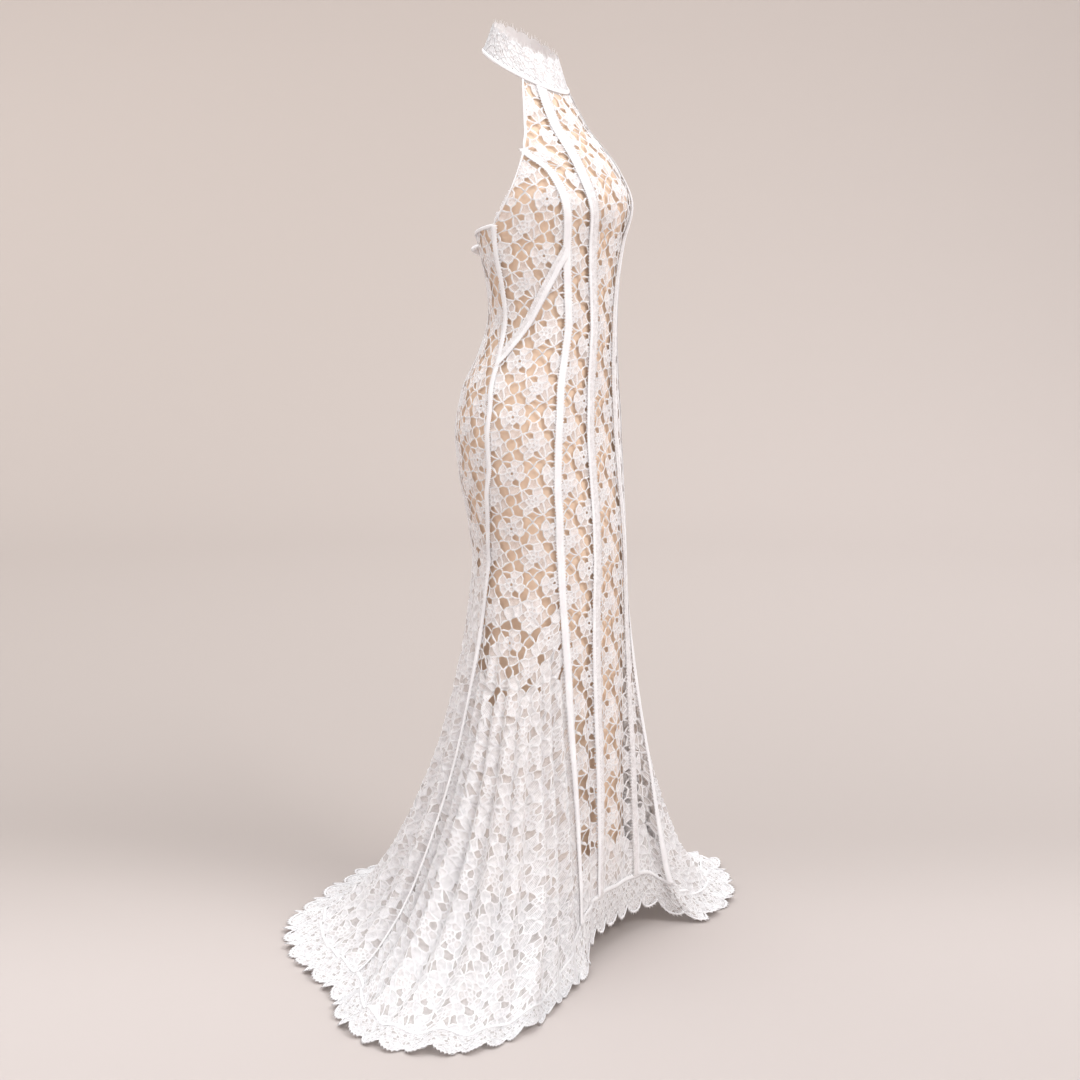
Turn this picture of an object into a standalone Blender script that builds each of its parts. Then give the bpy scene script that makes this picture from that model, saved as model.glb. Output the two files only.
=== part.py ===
"""A floor-length mermaid dress of corded white lace over a nude lining, standing as worn.

Metres, +Z up.  The dress faces -Y, its train runs to +Y and the wearer's right is at -X.
The origin is the centre of the stand collar's lower edge, where the dress is held up.

Every cloth piece is cut as a flat pattern and then draped on one master form.  A place on the
form has an angle round the body (0 centre front, 90 the wearer's right side, 180 centre back)
and a level, which is the height above the floor down to the knee, runs on from the knee to
the top of the lace border in the skirt, and is negative on the border.
"""

import math
from collections import namedtuple

import bmesh
import bpy

# Driving dimensions in metres
NECK_HEIGHT = 1.465          # floor to the centre of the collar's lower edge
BODICE_TOP = 1.445           # level that names the front bodice's neck edge
CHEST = 1.372                # highest full section of the body
PRINCESS_TOP = 1.335         # where the outer princess seam leaves the armhole
DIAGONAL_TOP = 1.180         # where the diagonal seam leaves the outer princess seam
SIDE_TOP = 1.215             # top of the side seam
DIAGONAL_END = 0.995         # where the diagonal seam reaches the side seam
BACK_TOP = 1.185             # top of the centre back
KNEE = 0.664                 # where the skirt starts to flare
BORDER_LEVEL = 0.10          # span of levels given to the lace border
BORDER_DEPTH = 0.066
SCALLOP_DEPTH = 0.022
SCALLOP_COLUMNS = 4          # columns of the border in one scallop

WALL = 0.0012
SEAM_GAP = 0.0005
BINDING_WALL = 0.0010
BAND_HALF_WIDTH = 0.0085
SIDE_BAND_HALF_WIDTH = 0.0045
EDGE_WIDTH = 0.0055
BORDER_SEAM = 0.06           # degrees from a seam to the end of a length of border
BORDER_GAP = 0.0012          # between the panels' lower edges and the border
LINING_WALL = 0.0010
LINING_DEPTH = 0.0058        # from the lace's inner face to the lining's inner face
LINING_SEAT = 0.0018         # the same at the neck and the back edge, where they are sewn
LINING_HEM = 0.10
ZIP_HALF_WIDTH = 0.0060

COLLAR_FOOT_RADIUS = 0.0705
COLLAR_TOP_RADIUS = 0.0545
COLLAR_HEIGHT = 0.047
COLLAR_FOOT_TILT = 0.55
COLLAR_TOP_TILT = 0.60
COLLAR_SCALLOP = 0.009
COLLAR_WALL = 0.0020
COLLAR_COLUMNS = 32
COLLAR_SEAM = 0.0010         # between the bodice's neck edge and the collar
COLLAR_SLIT = 0.35           # degrees each side of the centre back
BINDING_TOP = 0.0065

ROLL_RADIUS = 0.0100
ROLL_REACH = 32              # degrees each side of the centre back
ROLL_LEVEL = 1.176
ROLL_SIDES = 8
ROLL_PARTS = 8
ROLL_CLEAR = 0.0008          # between the roll and the lace that it stands off

GAP_RIB = 0.0075             # half the width of the corded lace left between two gaps
GAP_TWIST = math.radians(9)
FOLD_RISE = 0.026
SWEEP = 0.22                 # how far out the skirt has come when it meets the floor

Section = namedtuple("Section", "level half_width front back centre squareness")
SECTIONS = [
    Section(1.372, 0.100, 0.093, 0.084, -0.010, 2.0),
    Section(1.306, 0.130, 0.133, 0.088, -0.018, 2.3),
    Section(1.248, 0.142, 0.151, 0.088, -0.022, 2.5),
    Section(1.185, 0.138, 0.130, 0.083, -0.030, 2.4),
    Section(1.106, 0.129, 0.107, 0.088, -0.045, 2.2),
    Section(1.059, 0.127, 0.101, 0.097, -0.050, 2.1),
    Section(1.005, 0.138, 0.106, 0.105, -0.043, 2.1),
    Section(0.938, 0.160, 0.119, 0.120, -0.029, 2.1),
    Section(0.870, 0.171, 0.125, 0.125, -0.025, 2.1),
    Section(0.801, 0.168, 0.127, 0.122, -0.029, 2.1),
    Section(0.733, 0.158, 0.125, 0.119, -0.038, 2.1),
    Section(0.664, 0.150, 0.122, 0.119, -0.046, 2.1),
]

# Where the hem lies: across is X, along is Y, lift is the hem's height above the floor and
# stand is how high the skirt's lower guide point stands, low where the cloth lies on the floor
Hem = namedtuple("Hem", "angle across along lift stand")
HEM = [
    Hem(-180, 0.000, 0.415, 0.001, 0.010),
    Hem(-168, 0.130, 0.432, 0.001, 0.010),
    Hem(-154, 0.300, 0.430, 0.001, 0.010),
    Hem(-138, 0.440, 0.340, 0.001, 0.010),
    Hem(-118, 0.545, 0.170, 0.001, 0.010),
    Hem(-98, 0.556, -0.010, 0.001, 0.010),
    Hem(-84, 0.520, -0.115, 0.001, 0.010),
    Hem(-70, 0.410, -0.205, 0.001, 0.010),
    Hem(-58, 0.275, -0.262, 0.001, 0.012),
    Hem(-49, 0.175, -0.268, 0.001, 0.040),
    Hem(-42, 0.142, -0.222, 0.012, 0.170),
    Hem(-30, 0.112, -0.188, 0.030, 0.240),
    Hem(-18, 0.065, -0.178, 0.032, 0.240),
    Hem(0, 0.000, -0.176, 0.032, 0.240),
    Hem(18, -0.062, -0.178, 0.032, 0.240),
    Hem(30, -0.108, -0.184, 0.026, 0.240),
    Hem(40, -0.150, -0.200, 0.012, 0.170),
    Hem(47, -0.205, -0.222, 0.001, 0.040),
    Hem(56, -0.310, -0.240, 0.001, 0.012),
    Hem(66, -0.450, -0.262, 0.001, 0.010),
    Hem(76, -0.580, -0.225, 0.001, 0.010),
    Hem(87, -0.625, -0.110, 0.001, 0.010),
    Hem(98, -0.575, 0.000, 0.001, 0.010),
    Hem(108, -0.475, 0.085, 0.001, 0.010),
    Hem(122, -0.405, 0.180, 0.001, 0.010),
    Hem(140, -0.320, 0.280, 0.001, 0.010),
    Hem(158, -0.185, 0.370, 0.001, 0.010),
    Hem(180, 0.000, 0.415, 0.001, 0.010),
]

# Angles of the seams on the wearer's right at each level; the left mirrors them
SeamPoint = namedtuple("SeamPoint", "level angle")
INNER_PRINCESS = [
    SeamPoint(1.445, 40), SeamPoint(1.372, 34), SeamPoint(1.270, 26), SeamPoint(1.190, 19),
    SeamPoint(1.090, 16), SeamPoint(0.930, 14), SeamPoint(0.800, 15), SeamPoint(0.664, 18),
    SeamPoint(0.450, 20), SeamPoint(0.000, 20),
]
OUTER_PRINCESS = [
    SeamPoint(1.445, 66), SeamPoint(1.370, 66), SeamPoint(1.335, 70), SeamPoint(1.296, 53),
    SeamPoint(1.257, 47), SeamPoint(1.180, 42), SeamPoint(1.010, 41), SeamPoint(0.900, 39),
    SeamPoint(0.770, 44), SeamPoint(0.664, 48), SeamPoint(0.450, 45), SeamPoint(0.000, 45),
]
SIDE_SEAM = [
    SeamPoint(1.215, 92), SeamPoint(1.140, 97), SeamPoint(1.050, 99), SeamPoint(0.980, 95),
    SeamPoint(0.900, 90), SeamPoint(0.830, 90), SeamPoint(0.767, 96), SeamPoint(0.664, 105),
    SeamPoint(0.450, 110), SeamPoint(0.000, 110),
]
# The cut edge of the front from the neck to the side seam's top, then that seam
FRONT_EDGE = [
    SeamPoint(1.445, 66), SeamPoint(1.370, 66), SeamPoint(1.335, 70), SeamPoint(1.215, 92),
    SeamPoint(1.140, 97), SeamPoint(1.050, 99), SeamPoint(0.980, 95), SeamPoint(0.900, 90),
    SeamPoint(0.830, 90), SeamPoint(0.767, 96), SeamPoint(0.664, 105), SeamPoint(0.450, 106),
]

# Folds of the flared skirt, the same on both sides
Fold = namedtuple("Fold", "angle half_width rise")
FOLDS = [
    Fold(0, 10, 0.25), Fold(20, 8, 0.45), Fold(32.5, 6.2, 0.40), Fold(45, 6.0, 0.75),
    Fold(52.2, 3.6, 0.85), Fold(59.4, 3.6, 0.70), Fold(66.7, 3.6, 1.00), Fold(73.9, 3.6, 0.65),
    Fold(81.1, 3.6, 1.05), Fold(88.3, 3.6, 0.70), Fold(95.6, 3.6, 1.10), Fold(102.8, 3.6, 0.80),
    Fold(110, 4.0, 0.90), Fold(120, 5.0, 1.05), Fold(130, 5.0, 0.60), Fold(140, 5.0, 0.95),
    Fold(150, 5.0, 0.70), Fold(160, 5.0, 1.00), Fold(170, 5.0, 0.65), Fold(180, 5.0, 0.90),
]
# Growth of the folds down the skirt
FoldGrowth = namedtuple("FoldGrowth", "run share")
FOLD_GROWTH = [
    FoldGrowth(0.0, 0.0), FoldGrowth(0.15, 0.12), FoldGrowth(0.4, 0.60), FoldGrowth(0.65, 1.0),
    FoldGrowth(0.85, 0.85), FoldGrowth(1.0, 0.45), FoldGrowth(1.1, 0.40),
]

# Cross rows of the cuts
NECK_ROWS = 2
EDGE_ROW = 0.12              # where the edge binding ends and the side and the back start
EDGE_ROW_GAP = 0.006         # rows between the edge binding and what lies under it
DIAGONAL_BAND = (3.90, 4.26)  # rows at the top and the bottom of the diagonal band
DIAGONAL_ROW_GAP = 0.006     # rows between that band and the panels beside it
ZIP_ROW = 8                  # where the zip tape starts to narrow to a point
ZIP_POINT = 0.9              # how many rows further its point lies
DIAGONAL_ROWS = 4
BODY_ROWS = 9
KNEE_ROW = DIAGONAL_ROWS + BODY_ROWS
SKIRT_RUNS = [0.0, 0.11, 0.22, 0.33, 0.45, 0.57, 0.69, 0.80, 0.90, 1.0]
HEM_ROW = KNEE_ROW + len(SKIRT_RUNS) - 1
SECOND_SPREAD_RUN = 3
LINING_BODY_ROWS = 8
LINING_SKIRT_ROWS = 4

# Columns of each panel above the knee, and what each is split into at the two spreads
Columns = namedtuple("Columns", "body first second")
CENTRE_COLUMNS = Columns(2, 2, 1)
FRONT_COLUMNS = Columns(2, 2, 2)
SIDE_COLUMNS = Columns(4, 3, 3)
BACK_COLUMNS = Columns(5, 2, 3)
LINING_FRONT_COLUMNS = 10
NECK_SPREAD = 3

Finish = namedtuple("Finish", "colour roughness")
LACE = Finish((0.90, 0.89, 0.89), 0.70)
DENSE_LACE = Finish((0.94, 0.93, 0.94), 0.65)
NUDE_MESH = Finish((0.78, 0.54, 0.39), 0.80)


def read_table(table, column, place):
    """One column of a table at a place between its rows, on a smooth curve with no overshoot."""
    rows = sorted((row[0], getattr(row, column)) for row in table)
    if place <= rows[0][0]:
        return rows[0][1]
    if place >= rows[-1][0]:
        return rows[-1][1]
    index = max(i for i in range(len(rows) - 1) if rows[i][0] <= place)
    steps = [(b[1] - a[1]) / (b[0] - a[0]) for a, b in zip(rows, rows[1:])]

    def slope(i):
        if i == 0 or i == len(rows) - 1:
            return steps[min(i, len(steps) - 1)]
        before, after = steps[i - 1], steps[i]
        return 0.0 if before * after <= 0 else 2 * before * after / (before + after)

    (x0, y0), (x1, y1) = rows[index], rows[index + 1]
    span = x1 - x0
    s = (place - x0) / span
    return ((1 + 2 * s) * (1 - s) ** 2 * y0 + s * (1 - s) ** 2 * span * slope(index)
            + s * s * (3 - 2 * s) * y1 + s * s * (s - 1) * span * slope(index + 1))


def mix(a, b, share):
    return a + (b - a) * share


def mix_points(a, b, share):
    return tuple(mix(p, q, share) for p, q in zip(a, b))


def body_point(angle, level):
    """A point of the body form above the knee, in the frame of the floor."""
    section = {name: read_table(SECTIONS, name, level) for name in Section._fields[1:]}
    turn = math.radians(angle)
    power = 2.0 / section["squareness"]
    side, fore = math.sin(turn), math.cos(turn)
    reach = section["front"] if fore > 0 else section["back"]
    return (-section["half_width"] * math.copysign(abs(side) ** power, side),
            section["centre"] - reach * math.copysign(abs(fore) ** power, fore),
            level)


def collar_foot(angle):
    """The lower edge of the collar, in the frame of the floor."""
    turn = math.radians(angle)
    x, y = -COLLAR_FOOT_RADIUS * math.sin(turn), -COLLAR_FOOT_RADIUS * math.cos(turn)
    return (x, y, NECK_HEIGHT + COLLAR_FOOT_TILT * y)


def collar_point(angle, rise):
    """A point of the collar at a height above its lower edge, in the frame of the floor."""
    turn = math.radians(angle)
    share = rise / COLLAR_HEIGHT
    radius = mix(COLLAR_FOOT_RADIUS, COLLAR_TOP_RADIUS, share)
    x, y = -radius * math.sin(turn), -radius * math.cos(turn)
    return (x, y, NECK_HEIGHT + rise + mix(COLLAR_FOOT_TILT, COLLAR_TOP_TILT, share) * y)


def skirt_guides(angle):
    """The four guide points of the skirt's curve from knee to hem."""
    knee = body_point(angle, KNEE)
    hem = {name: read_table(HEM, name, angle) for name in Hem._fields[1:]}
    out = (hem["across"] - knee[0], hem["along"] - knee[1])
    upper = (knee[0] + 0.04 * out[0], knee[1] + 0.04 * out[1], KNEE * 2 / 3)
    lower = (knee[0] + SWEEP * out[0], knee[1] + SWEEP * out[1], hem["stand"])
    end = (hem["across"], hem["along"], hem["lift"])
    return knee, upper, lower, end


def skirt_share(angle, level, guides):
    """How far down the skirt's curve a level lies."""
    reach = 3 * math.dist(guides[2], guides[3])
    border_share = 1 - BORDER_DEPTH / reach
    if level >= 0:
        return border_share * (1 - level / KNEE)
    return border_share - level / BORDER_LEVEL * (1 - border_share)


def plain_point(angle, level):
    """A point of the master form without its folds, in the frame of the floor."""
    if level >= CHEST:
        rise = (level - CHEST) / (BODICE_TOP - CHEST)
        return mix_points(body_point(angle, CHEST), collar_foot(angle), rise)
    if level >= KNEE:
        return body_point(angle, level)
    guides = skirt_guides(angle)
    s = skirt_share(angle, level, guides)
    weights = ((1 - s) ** 3, 3 * (1 - s) ** 2 * s, 3 * (1 - s) * s * s, s ** 3)
    return tuple(sum(w * g[axis] for w, g in zip(weights, guides)) for axis in range(3))


def fold_height(angle, level):
    """How far the folds lift the cloth off the plain form."""
    if level >= KNEE:
        return 0.0
    run = 1 - level / KNEE if level >= 0 else 1 - level
    growth = read_table(FOLD_GROWTH, "share", run)
    wave = 0.0
    for fold in FOLDS:
        off = (abs(angle) - fold.angle) / fold.half_width
        if abs(off) < 1:
            wave += fold.rise * 0.5 * (1 + math.cos(math.pi * off))
    return FOLD_RISE * growth * wave


def outward(point, angle, level):
    """The form's unit normal, out of the body and up off the floor."""
    turn, drop = 0.4, 0.004
    a, b = point(angle - turn, level), point(angle + turn, level)
    c, d = point(angle, level + drop), point(angle, level - drop)
    u = [q - p for p, q in zip(a, b)]
    v = [q - p for p, q in zip(c, d)]
    n = (u[1] * v[2] - u[2] * v[1], u[2] * v[0] - u[0] * v[2], u[0] * v[1] - u[1] * v[0])
    length = math.hypot(*n)
    return tuple(x / length for x in n)


def folded_point(angle, level):
    """A point of the master form with its folds, in the frame of the floor."""
    point = plain_point(angle, level)
    height = fold_height(angle, level)
    if height == 0:
        return point
    normal = outward(plain_point, angle, level)
    return tuple(p + height * n for p, n in zip(point, normal))


def lining_point(angle, level):
    """A point of the lining, inside the lace, narrow below the knee."""
    if level >= KNEE:
        return plain_point(angle, level)
    knee = body_point(angle, KNEE)
    hem = {name: read_table(HEM, name, angle) for name in Hem._fields[1:]}
    drop = 1 - level / KNEE
    share = 0.05 * drop
    x = mix(knee[0], hem["across"], share)
    return (x, mix(knee[1], hem["along"], share), level)


def off_surface(point, angle, level, lift):
    """A point lifted off a form, moved to the frame of the part."""
    normal = outward(point, angle, level)
    place = point(angle, level)
    return tuple(p + lift * n - (NECK_HEIGHT if axis == 2 else 0)
                 for axis, (p, n) in enumerate(zip(place, normal)))


def row_reader(levels):
    """Turns a cut row, whole or part, into its level."""
    def read(row):
        index = min(max(int(math.floor(row)), 0), len(levels) - 2)
        return mix(levels[index], levels[index + 1], row - index)
    return read


def even(start, end, parts):
    """Evenly spaced values from start to end, both of them included."""
    return [mix(start, end, i / parts) for i in range(parts + 1)]


SKIRT_LEVELS = [KNEE * (1 - run) for run in SKIRT_RUNS[1:]]
OUTER_LEVELS = (even(PRINCESS_TOP, DIAGONAL_TOP, DIAGONAL_ROWS)
                + even(DIAGONAL_TOP, KNEE, BODY_ROWS)[1:] + SKIRT_LEVELS)
FRONT_LEVELS = even(BODICE_TOP, PRINCESS_TOP, NECK_ROWS)[:-1] + OUTER_LEVELS
SIDE_LEVELS = (even(SIDE_TOP, DIAGONAL_END, DIAGONAL_ROWS)
               + even(DIAGONAL_END, KNEE, BODY_ROWS)[1:] + SKIRT_LEVELS)
BACK_LEVELS = even(BACK_TOP, KNEE, KNEE_ROW) + SKIRT_LEVELS


def seam(table):
    """The angle of a seam at any level."""
    return lambda level: read_table(table, "angle", level)


def seam_rows(line, levels, first_row=0):
    """Where the cross rows of a net meet a seam: the angle and level at a row, whole or part."""
    level_at = row_reader(levels)
    return lambda row: (line(level_at(row - first_row)), level_at(row - first_row))


# A net of cross rows and columns between two seams, with the half widths of the bands that lie
# on those seams.  Rows are numbered alike on every net: row 0 leaves the armhole at the outer
# princess seam, and the neck has rows above it.
Net = namedtuple("Net", "left right left_band right_band columns")
inner_line, outer_line, side_line = seam(INNER_PRINCESS), seam(OUTER_PRINCESS), seam(SIDE_SEAM)
INNER_ROWS = seam_rows(inner_line, FRONT_LEVELS, -NECK_ROWS)
BandWidth = namedtuple("BandWidth", "row half_width")
PRINCESS_BAND = [BandWidth(0, BAND_HALF_WIDTH)]
ARMHOLE_BAND = [BandWidth(-1, EDGE_WIDTH), BandWidth(EDGE_ROW, BAND_HALF_WIDTH)]
SIDE_BAND = [BandWidth(0, SIDE_BAND_HALF_WIDTH)]
ZIP_BAND = [BandWidth(ZIP_ROW, ZIP_HALF_WIDTH), BandWidth(ZIP_ROW + 1, 0.0)]
CENTRE_NET = Net(seam_rows(lambda level: -inner_line(level), FRONT_LEVELS, -NECK_ROWS),
                 INNER_ROWS, PRINCESS_BAND, PRINCESS_BAND, CENTRE_COLUMNS)
FRONT_NET = Net(INNER_ROWS, seam_rows(outer_line, FRONT_LEVELS, -NECK_ROWS),
                PRINCESS_BAND, ARMHOLE_BAND, FRONT_COLUMNS)
SIDE_NET = Net(seam_rows(outer_line, OUTER_LEVELS), seam_rows(side_line, SIDE_LEVELS),
               PRINCESS_BAND, SIDE_BAND, SIDE_COLUMNS)
BACK_NET = Net(seam_rows(side_line, SIDE_LEVELS), seam_rows(lambda level: 180.0, BACK_LEVELS),
               SIDE_BAND, ZIP_BAND, BACK_COLUMNS)


def band_width(band, row):
    """Half the width of a band at a row, straight from one named row to the next."""
    for start, end in zip(band, band[1:]):
        if start.row < row < end.row:
            return mix(start.half_width, end.half_width,
                       (row - start.row) / (end.row - start.row))
    return band[0].half_width if row <= band[0].row else band[-1].half_width


def net_node(net, share, row):
    """The angle and level of a place on a net, bands included."""
    return mix_points(net.left(row), net.right(row), share)


def end_share(side, net, end, row, width):
    """The share of a net's row that a width takes at its left end, 0, or its right end, 1."""
    probe = 0.1
    (edge, edge_level), (inner, inner_level) = (net_node(net, end, row),
                                                net_node(net, abs(end - probe), row))
    length = math.dist(folded_point(side * edge, edge_level),
                       folded_point(side * inner, inner_level))
    return width * probe / length


def panel_node(side, net, share, row, gap=0.0):
    """The angle and level of a place on the panel of a net, clear of the bands by a gap."""
    left = end_share(side, net, 0, row, band_width(net.left_band, row) + gap)
    right = end_share(side, net, 1, row, band_width(net.right_band, row) + gap)
    return net_node(net, mix(left, 1 - right, share), row)


def column_count(net, row):
    """How many columns a net has at a row."""
    count = net.columns.body
    if row >= KNEE_ROW:
        count *= net.columns.first
    if row >= KNEE_ROW + SECOND_SPREAD_RUN:
        count *= net.columns.second
    return count


def add_material(name, finish):
    material = bpy.data.materials.new(name)
    material.use_nodes = True
    shader = material.node_tree.nodes["Principled BSDF"]
    shader.inputs["Base Color"].default_value = (*finish.colour, 1)
    shader.inputs["Roughness"].default_value = finish.roughness
    shader.inputs["Metallic"].default_value = 0.0
    return material


def add_object(name, bm, finish):
    """Writes a bmesh as a named object with its own material."""
    mesh = bpy.data.meshes.new(name)
    bm.to_mesh(mesh)
    bm.free()
    mesh.shade_smooth()
    mesh.materials.append(add_material(name + "_cloth", finish))
    piece = bpy.data.objects.new(name, mesh)
    bpy.context.collection.objects.link(piece)
    return piece


def flat_cut(columns, rows):
    """A flat pattern of square cells, one unit each, columns along X and rows along Y."""
    bm = bmesh.new()
    bmesh.ops.create_grid(bm, x_segments=columns, y_segments=rows, size=0.5)
    for vert in bm.verts:
        vert.co.x = round((vert.co.x + 0.5) * columns, 4)
        vert.co.y = round((vert.co.y + 0.5) * rows, 4)
    return bm


def spread(bm, first_row, parts):
    """Splits every cross line from a row down into parts, for the folds below it."""
    if parts < 2:
        return
    lines = [edge for edge in bm.edges
             if abs(edge.verts[0].co.y - edge.verts[1].co.y) < 1e-6
             and edge.verts[0].co.y > first_row - 1e-6]
    bmesh.ops.subdivide_edges(bm, edges=lines, cuts=parts - 1, use_grid_fill=True)


def cut_gaps(bm, cells, cell_size):
    """Cuts one lace gap through each chosen cell, each turned a little its own way."""
    chosen = [face for face in bm.faces if cells(face.calc_center_median())]
    if not chosen:
        return
    for vert in bm.verts:
        vert.co.x *= cell_size[0]
        vert.co.y *= cell_size[1]
    bmesh.ops.inset_individual(bm, faces=chosen, thickness=GAP_RIB, depth=0.0)
    for number, face in enumerate(chosen):
        centre = face.calc_center_median()
        turn = GAP_TWIST * math.sin(2.4 * number + 0.7)
        for vert in face.verts:
            across, down = vert.co.x - centre.x, vert.co.y - centre.y
            vert.co.x = centre.x + across * math.cos(turn) - down * math.sin(turn)
            vert.co.y = centre.y + across * math.sin(turn) + down * math.cos(turn)
    bmesh.ops.delete(bm, geom=chosen, context="FACES")
    for vert in bm.verts:
        vert.co.x /= cell_size[0]
        vert.co.y /= cell_size[1]


def give_wall(bm):
    """Makes a flat cut one unit thick, with the same diagonals on both faces."""
    bmesh.ops.triangulate(bm, faces=bm.faces[:])
    made = bmesh.ops.extrude_face_region(bm, geom=bm.faces[:], use_keep_orig=True)
    for item in made["geom"]:
        if isinstance(item, bmesh.types.BMVert):
            item.co.z += 1.0
    bmesh.ops.recalc_face_normals(bm, faces=bm.faces[:])


def drape(bm, place, turn_over=False):
    """Moves each point of a cut to its place in the worn dress; a mirrored cut is turned over."""
    for vert in bm.verts:
        vert.co = place(vert.co.x, vert.co.y, vert.co.z)
    if turn_over:
        bmesh.ops.reverse_faces(bm, faces=bm.faces[:])


def row_lengths(side, node, rows):
    """The length of the first and of the last step between rows, along the left edge."""
    ends = [folded_point(side * angle, level)
            for angle, level in (node(0, row) for row in (*rows[:2], *rows[-2:]))]
    return math.dist(*ends[:2]), math.dist(*ends[2:])


def drape_rows(bm, side, columns, rows, node):
    """Drapes a walled cut whose rows lie at the given rows of a net, a seam gap off its ends."""
    trim = SEAM_GAP / 2
    row_at, last = row_reader(rows), len(rows) - 1
    first_length, last_length = row_lengths(side, node, rows)

    def place(across, down, depth):
        if down < 1:
            down = mix(trim / first_length, 1, down)
        elif down > last - 1:
            down = mix(last - trim / last_length, last - 1, last - down)
        angle, level = node(across / columns, row_at(down))
        return off_surface(folded_point, side * angle, level, depth * WALL)

    drape(bm, place, side < 0)


def panel(name, side, net, rows, cell_size, gap_rows):
    """One lace panel of a net, cut flat, gapped, walled and draped."""
    bm = flat_cut(net.columns.body, len(rows) - 1)
    if rows[0] < 0:
        top = [edge for edge in bm.edges if max(vert.co.y for vert in edge.verts) < 1e-6]
        bmesh.ops.subdivide_edges(bm, edges=top, cuts=NECK_SPREAD - 1, use_grid_fill=True)
    if KNEE_ROW in rows:
        knee = rows.index(KNEE_ROW)
        spread(bm, knee, net.columns.first)
        spread(bm, knee + SECOND_SPREAD_RUN, net.columns.second)
    row_at = row_reader(rows)
    cut_gaps(bm, lambda centre: gap_rows[0] < row_at(centre.y) < gap_rows[1], cell_size)
    give_wall(bm)
    drape_rows(bm, side, net.columns.body, rows,
               lambda share, row: panel_node(side, net, share, row, SEAM_GAP / 2))
    add_object(name, bm, LACE)


def seam_band(name, side, left_net, right_net, rows):
    """The band that lies on the seam between two nets, between their panels."""
    bm = flat_cut(1, len(rows) - 1)
    give_wall(bm)

    def node(share, row):
        left = panel_node(side, left_net, 1, row, -SEAM_GAP / 2)
        right = panel_node(side, right_net, 0, row, -SEAM_GAP / 2)
        return mix_points(left, right, share)

    drape_rows(bm, side, 1, rows, node)
    add_object(name, bm, DENSE_LACE)


def strip(name, side, pairs):
    """A narrow band through pairs of places, the first of each on its left edge."""
    bm = flat_cut(1, len(pairs) - 1)
    give_wall(bm)

    def place(across, down, depth):
        angle, level = pairs[round(down)][round(across)]
        return off_surface(folded_point, side * angle, level, depth * WALL)

    drape(bm, place, side < 0)
    add_object(name, bm, DENSE_LACE)


def lining(name, side, seams, rows, columns):
    """One lining panel between two seams, inside the lace and sewn to it along its top edge."""
    left, right = seams
    bm = flat_cut(columns, rows)
    give_wall(bm)
    trim = SEAM_GAP / 2

    def place(across, down, depth):
        start, end = left(down), right(down)
        inset = trim / math.dist(lining_point(*start), lining_point(*end))
        angle, level = mix_points(start, end, mix(inset, 1 - inset, across / columns))
        sink = LINING_SEAT if down < 1 else LINING_DEPTH
        level = level - COLLAR_SEAM if down < 1 else level
        return off_surface(lining_point, side * angle, level, depth * LINING_WALL - sink)

    drape(bm, place, side < 0)
    add_object(name, bm, NUDE_MESH)


def collar():
    """The stand collar, a tilted ring narrowing upwards, with a scalloped top and a back slit."""
    bm = flat_cut(COLLAR_COLUMNS, 2)
    give_wall(bm)

    def place(across, down, depth):
        angle = mix(-180 + COLLAR_SLIT, 180 - COLLAR_SLIT, across / COLLAR_COLUMNS)
        rise = COLLAR_HEIGHT * (1 - down / 2)
        if down < 1 and round(across) % 2:
            rise += COLLAR_SCALLOP
        return off_surface(collar_point, angle, rise + COLLAR_SEAM * down / 2,
                           depth * COLLAR_WALL)

    drape(bm, place)
    add_object("collar", bm, DENSE_LACE)


def collar_binding():
    """The folded band round the collar's lower edge."""
    bm = flat_cut(COLLAR_COLUMNS, 1)
    give_wall(bm)

    def place(across, down, depth):
        angle = mix(-180 + COLLAR_SLIT, 180 - COLLAR_SLIT, across / COLLAR_COLUMNS)
        rise = mix(BINDING_TOP, 2 * COLLAR_SEAM, down)
        lift = COLLAR_WALL + SEAM_GAP + depth * BINDING_WALL
        return off_surface(collar_point, angle, rise, lift)

    drape(bm, place)
    add_object("collar_binding", bm, DENSE_LACE)


def hem_border(name, side, angles):
    """The scalloped lace border below the panels, with a column on each of their columns."""
    bm = flat_cut(len(angles) - 1, 1)
    give_wall(bm)
    top_gap = BORDER_GAP / BORDER_DEPTH
    bottom_cut = SCALLOP_DEPTH / BORDER_DEPTH

    def place(across, down, depth):
        column = round(across)
        arch = abs(math.sin(math.pi * column / SCALLOP_COLUMNS)) ** 0.7
        share = mix(top_gap, 1 - bottom_cut * (1 - arch), down)
        return off_surface(folded_point, side * angles[column], -BORDER_LEVEL * share,
                           depth * WALL)

    drape(bm, place, side < 0)
    add_object(name, bm, DENSE_LACE)


def back_roll():
    """The rolled lace edge that stands out across the top of the centre back."""
    bm = bmesh.new()
    bmesh.ops.create_cone(bm, cap_ends=True, segments=ROLL_SIDES, radius1=1.0, radius2=1.0,
                          depth=1.0)
    lengthwise = [edge for edge in bm.edges
                  if abs(edge.verts[0].co.z - edge.verts[1].co.z) > 0.5]
    bmesh.ops.subdivide_edges(bm, edges=lengthwise, cuts=ROLL_PARTS - 1, use_grid_fill=True)
    for vert in bm.verts:
        along, round_x, round_y = vert.co.z * 2, vert.co.x, vert.co.y
        radius = ROLL_RADIUS * math.sqrt(1.08 - along * along)
        off = WALL + ROLL_CLEAR + ROLL_RADIUS + round_x * radius
        angle = 180 + ROLL_REACH * along
        vert.co = off_surface(body_point, angle, ROLL_LEVEL + radius * round_y, off)
    add_object("back_roll", bm, DENSE_LACE)


def clear_scene():
    for item in list(bpy.data.objects):
        bpy.data.objects.remove(item, do_unlink=True)


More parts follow.
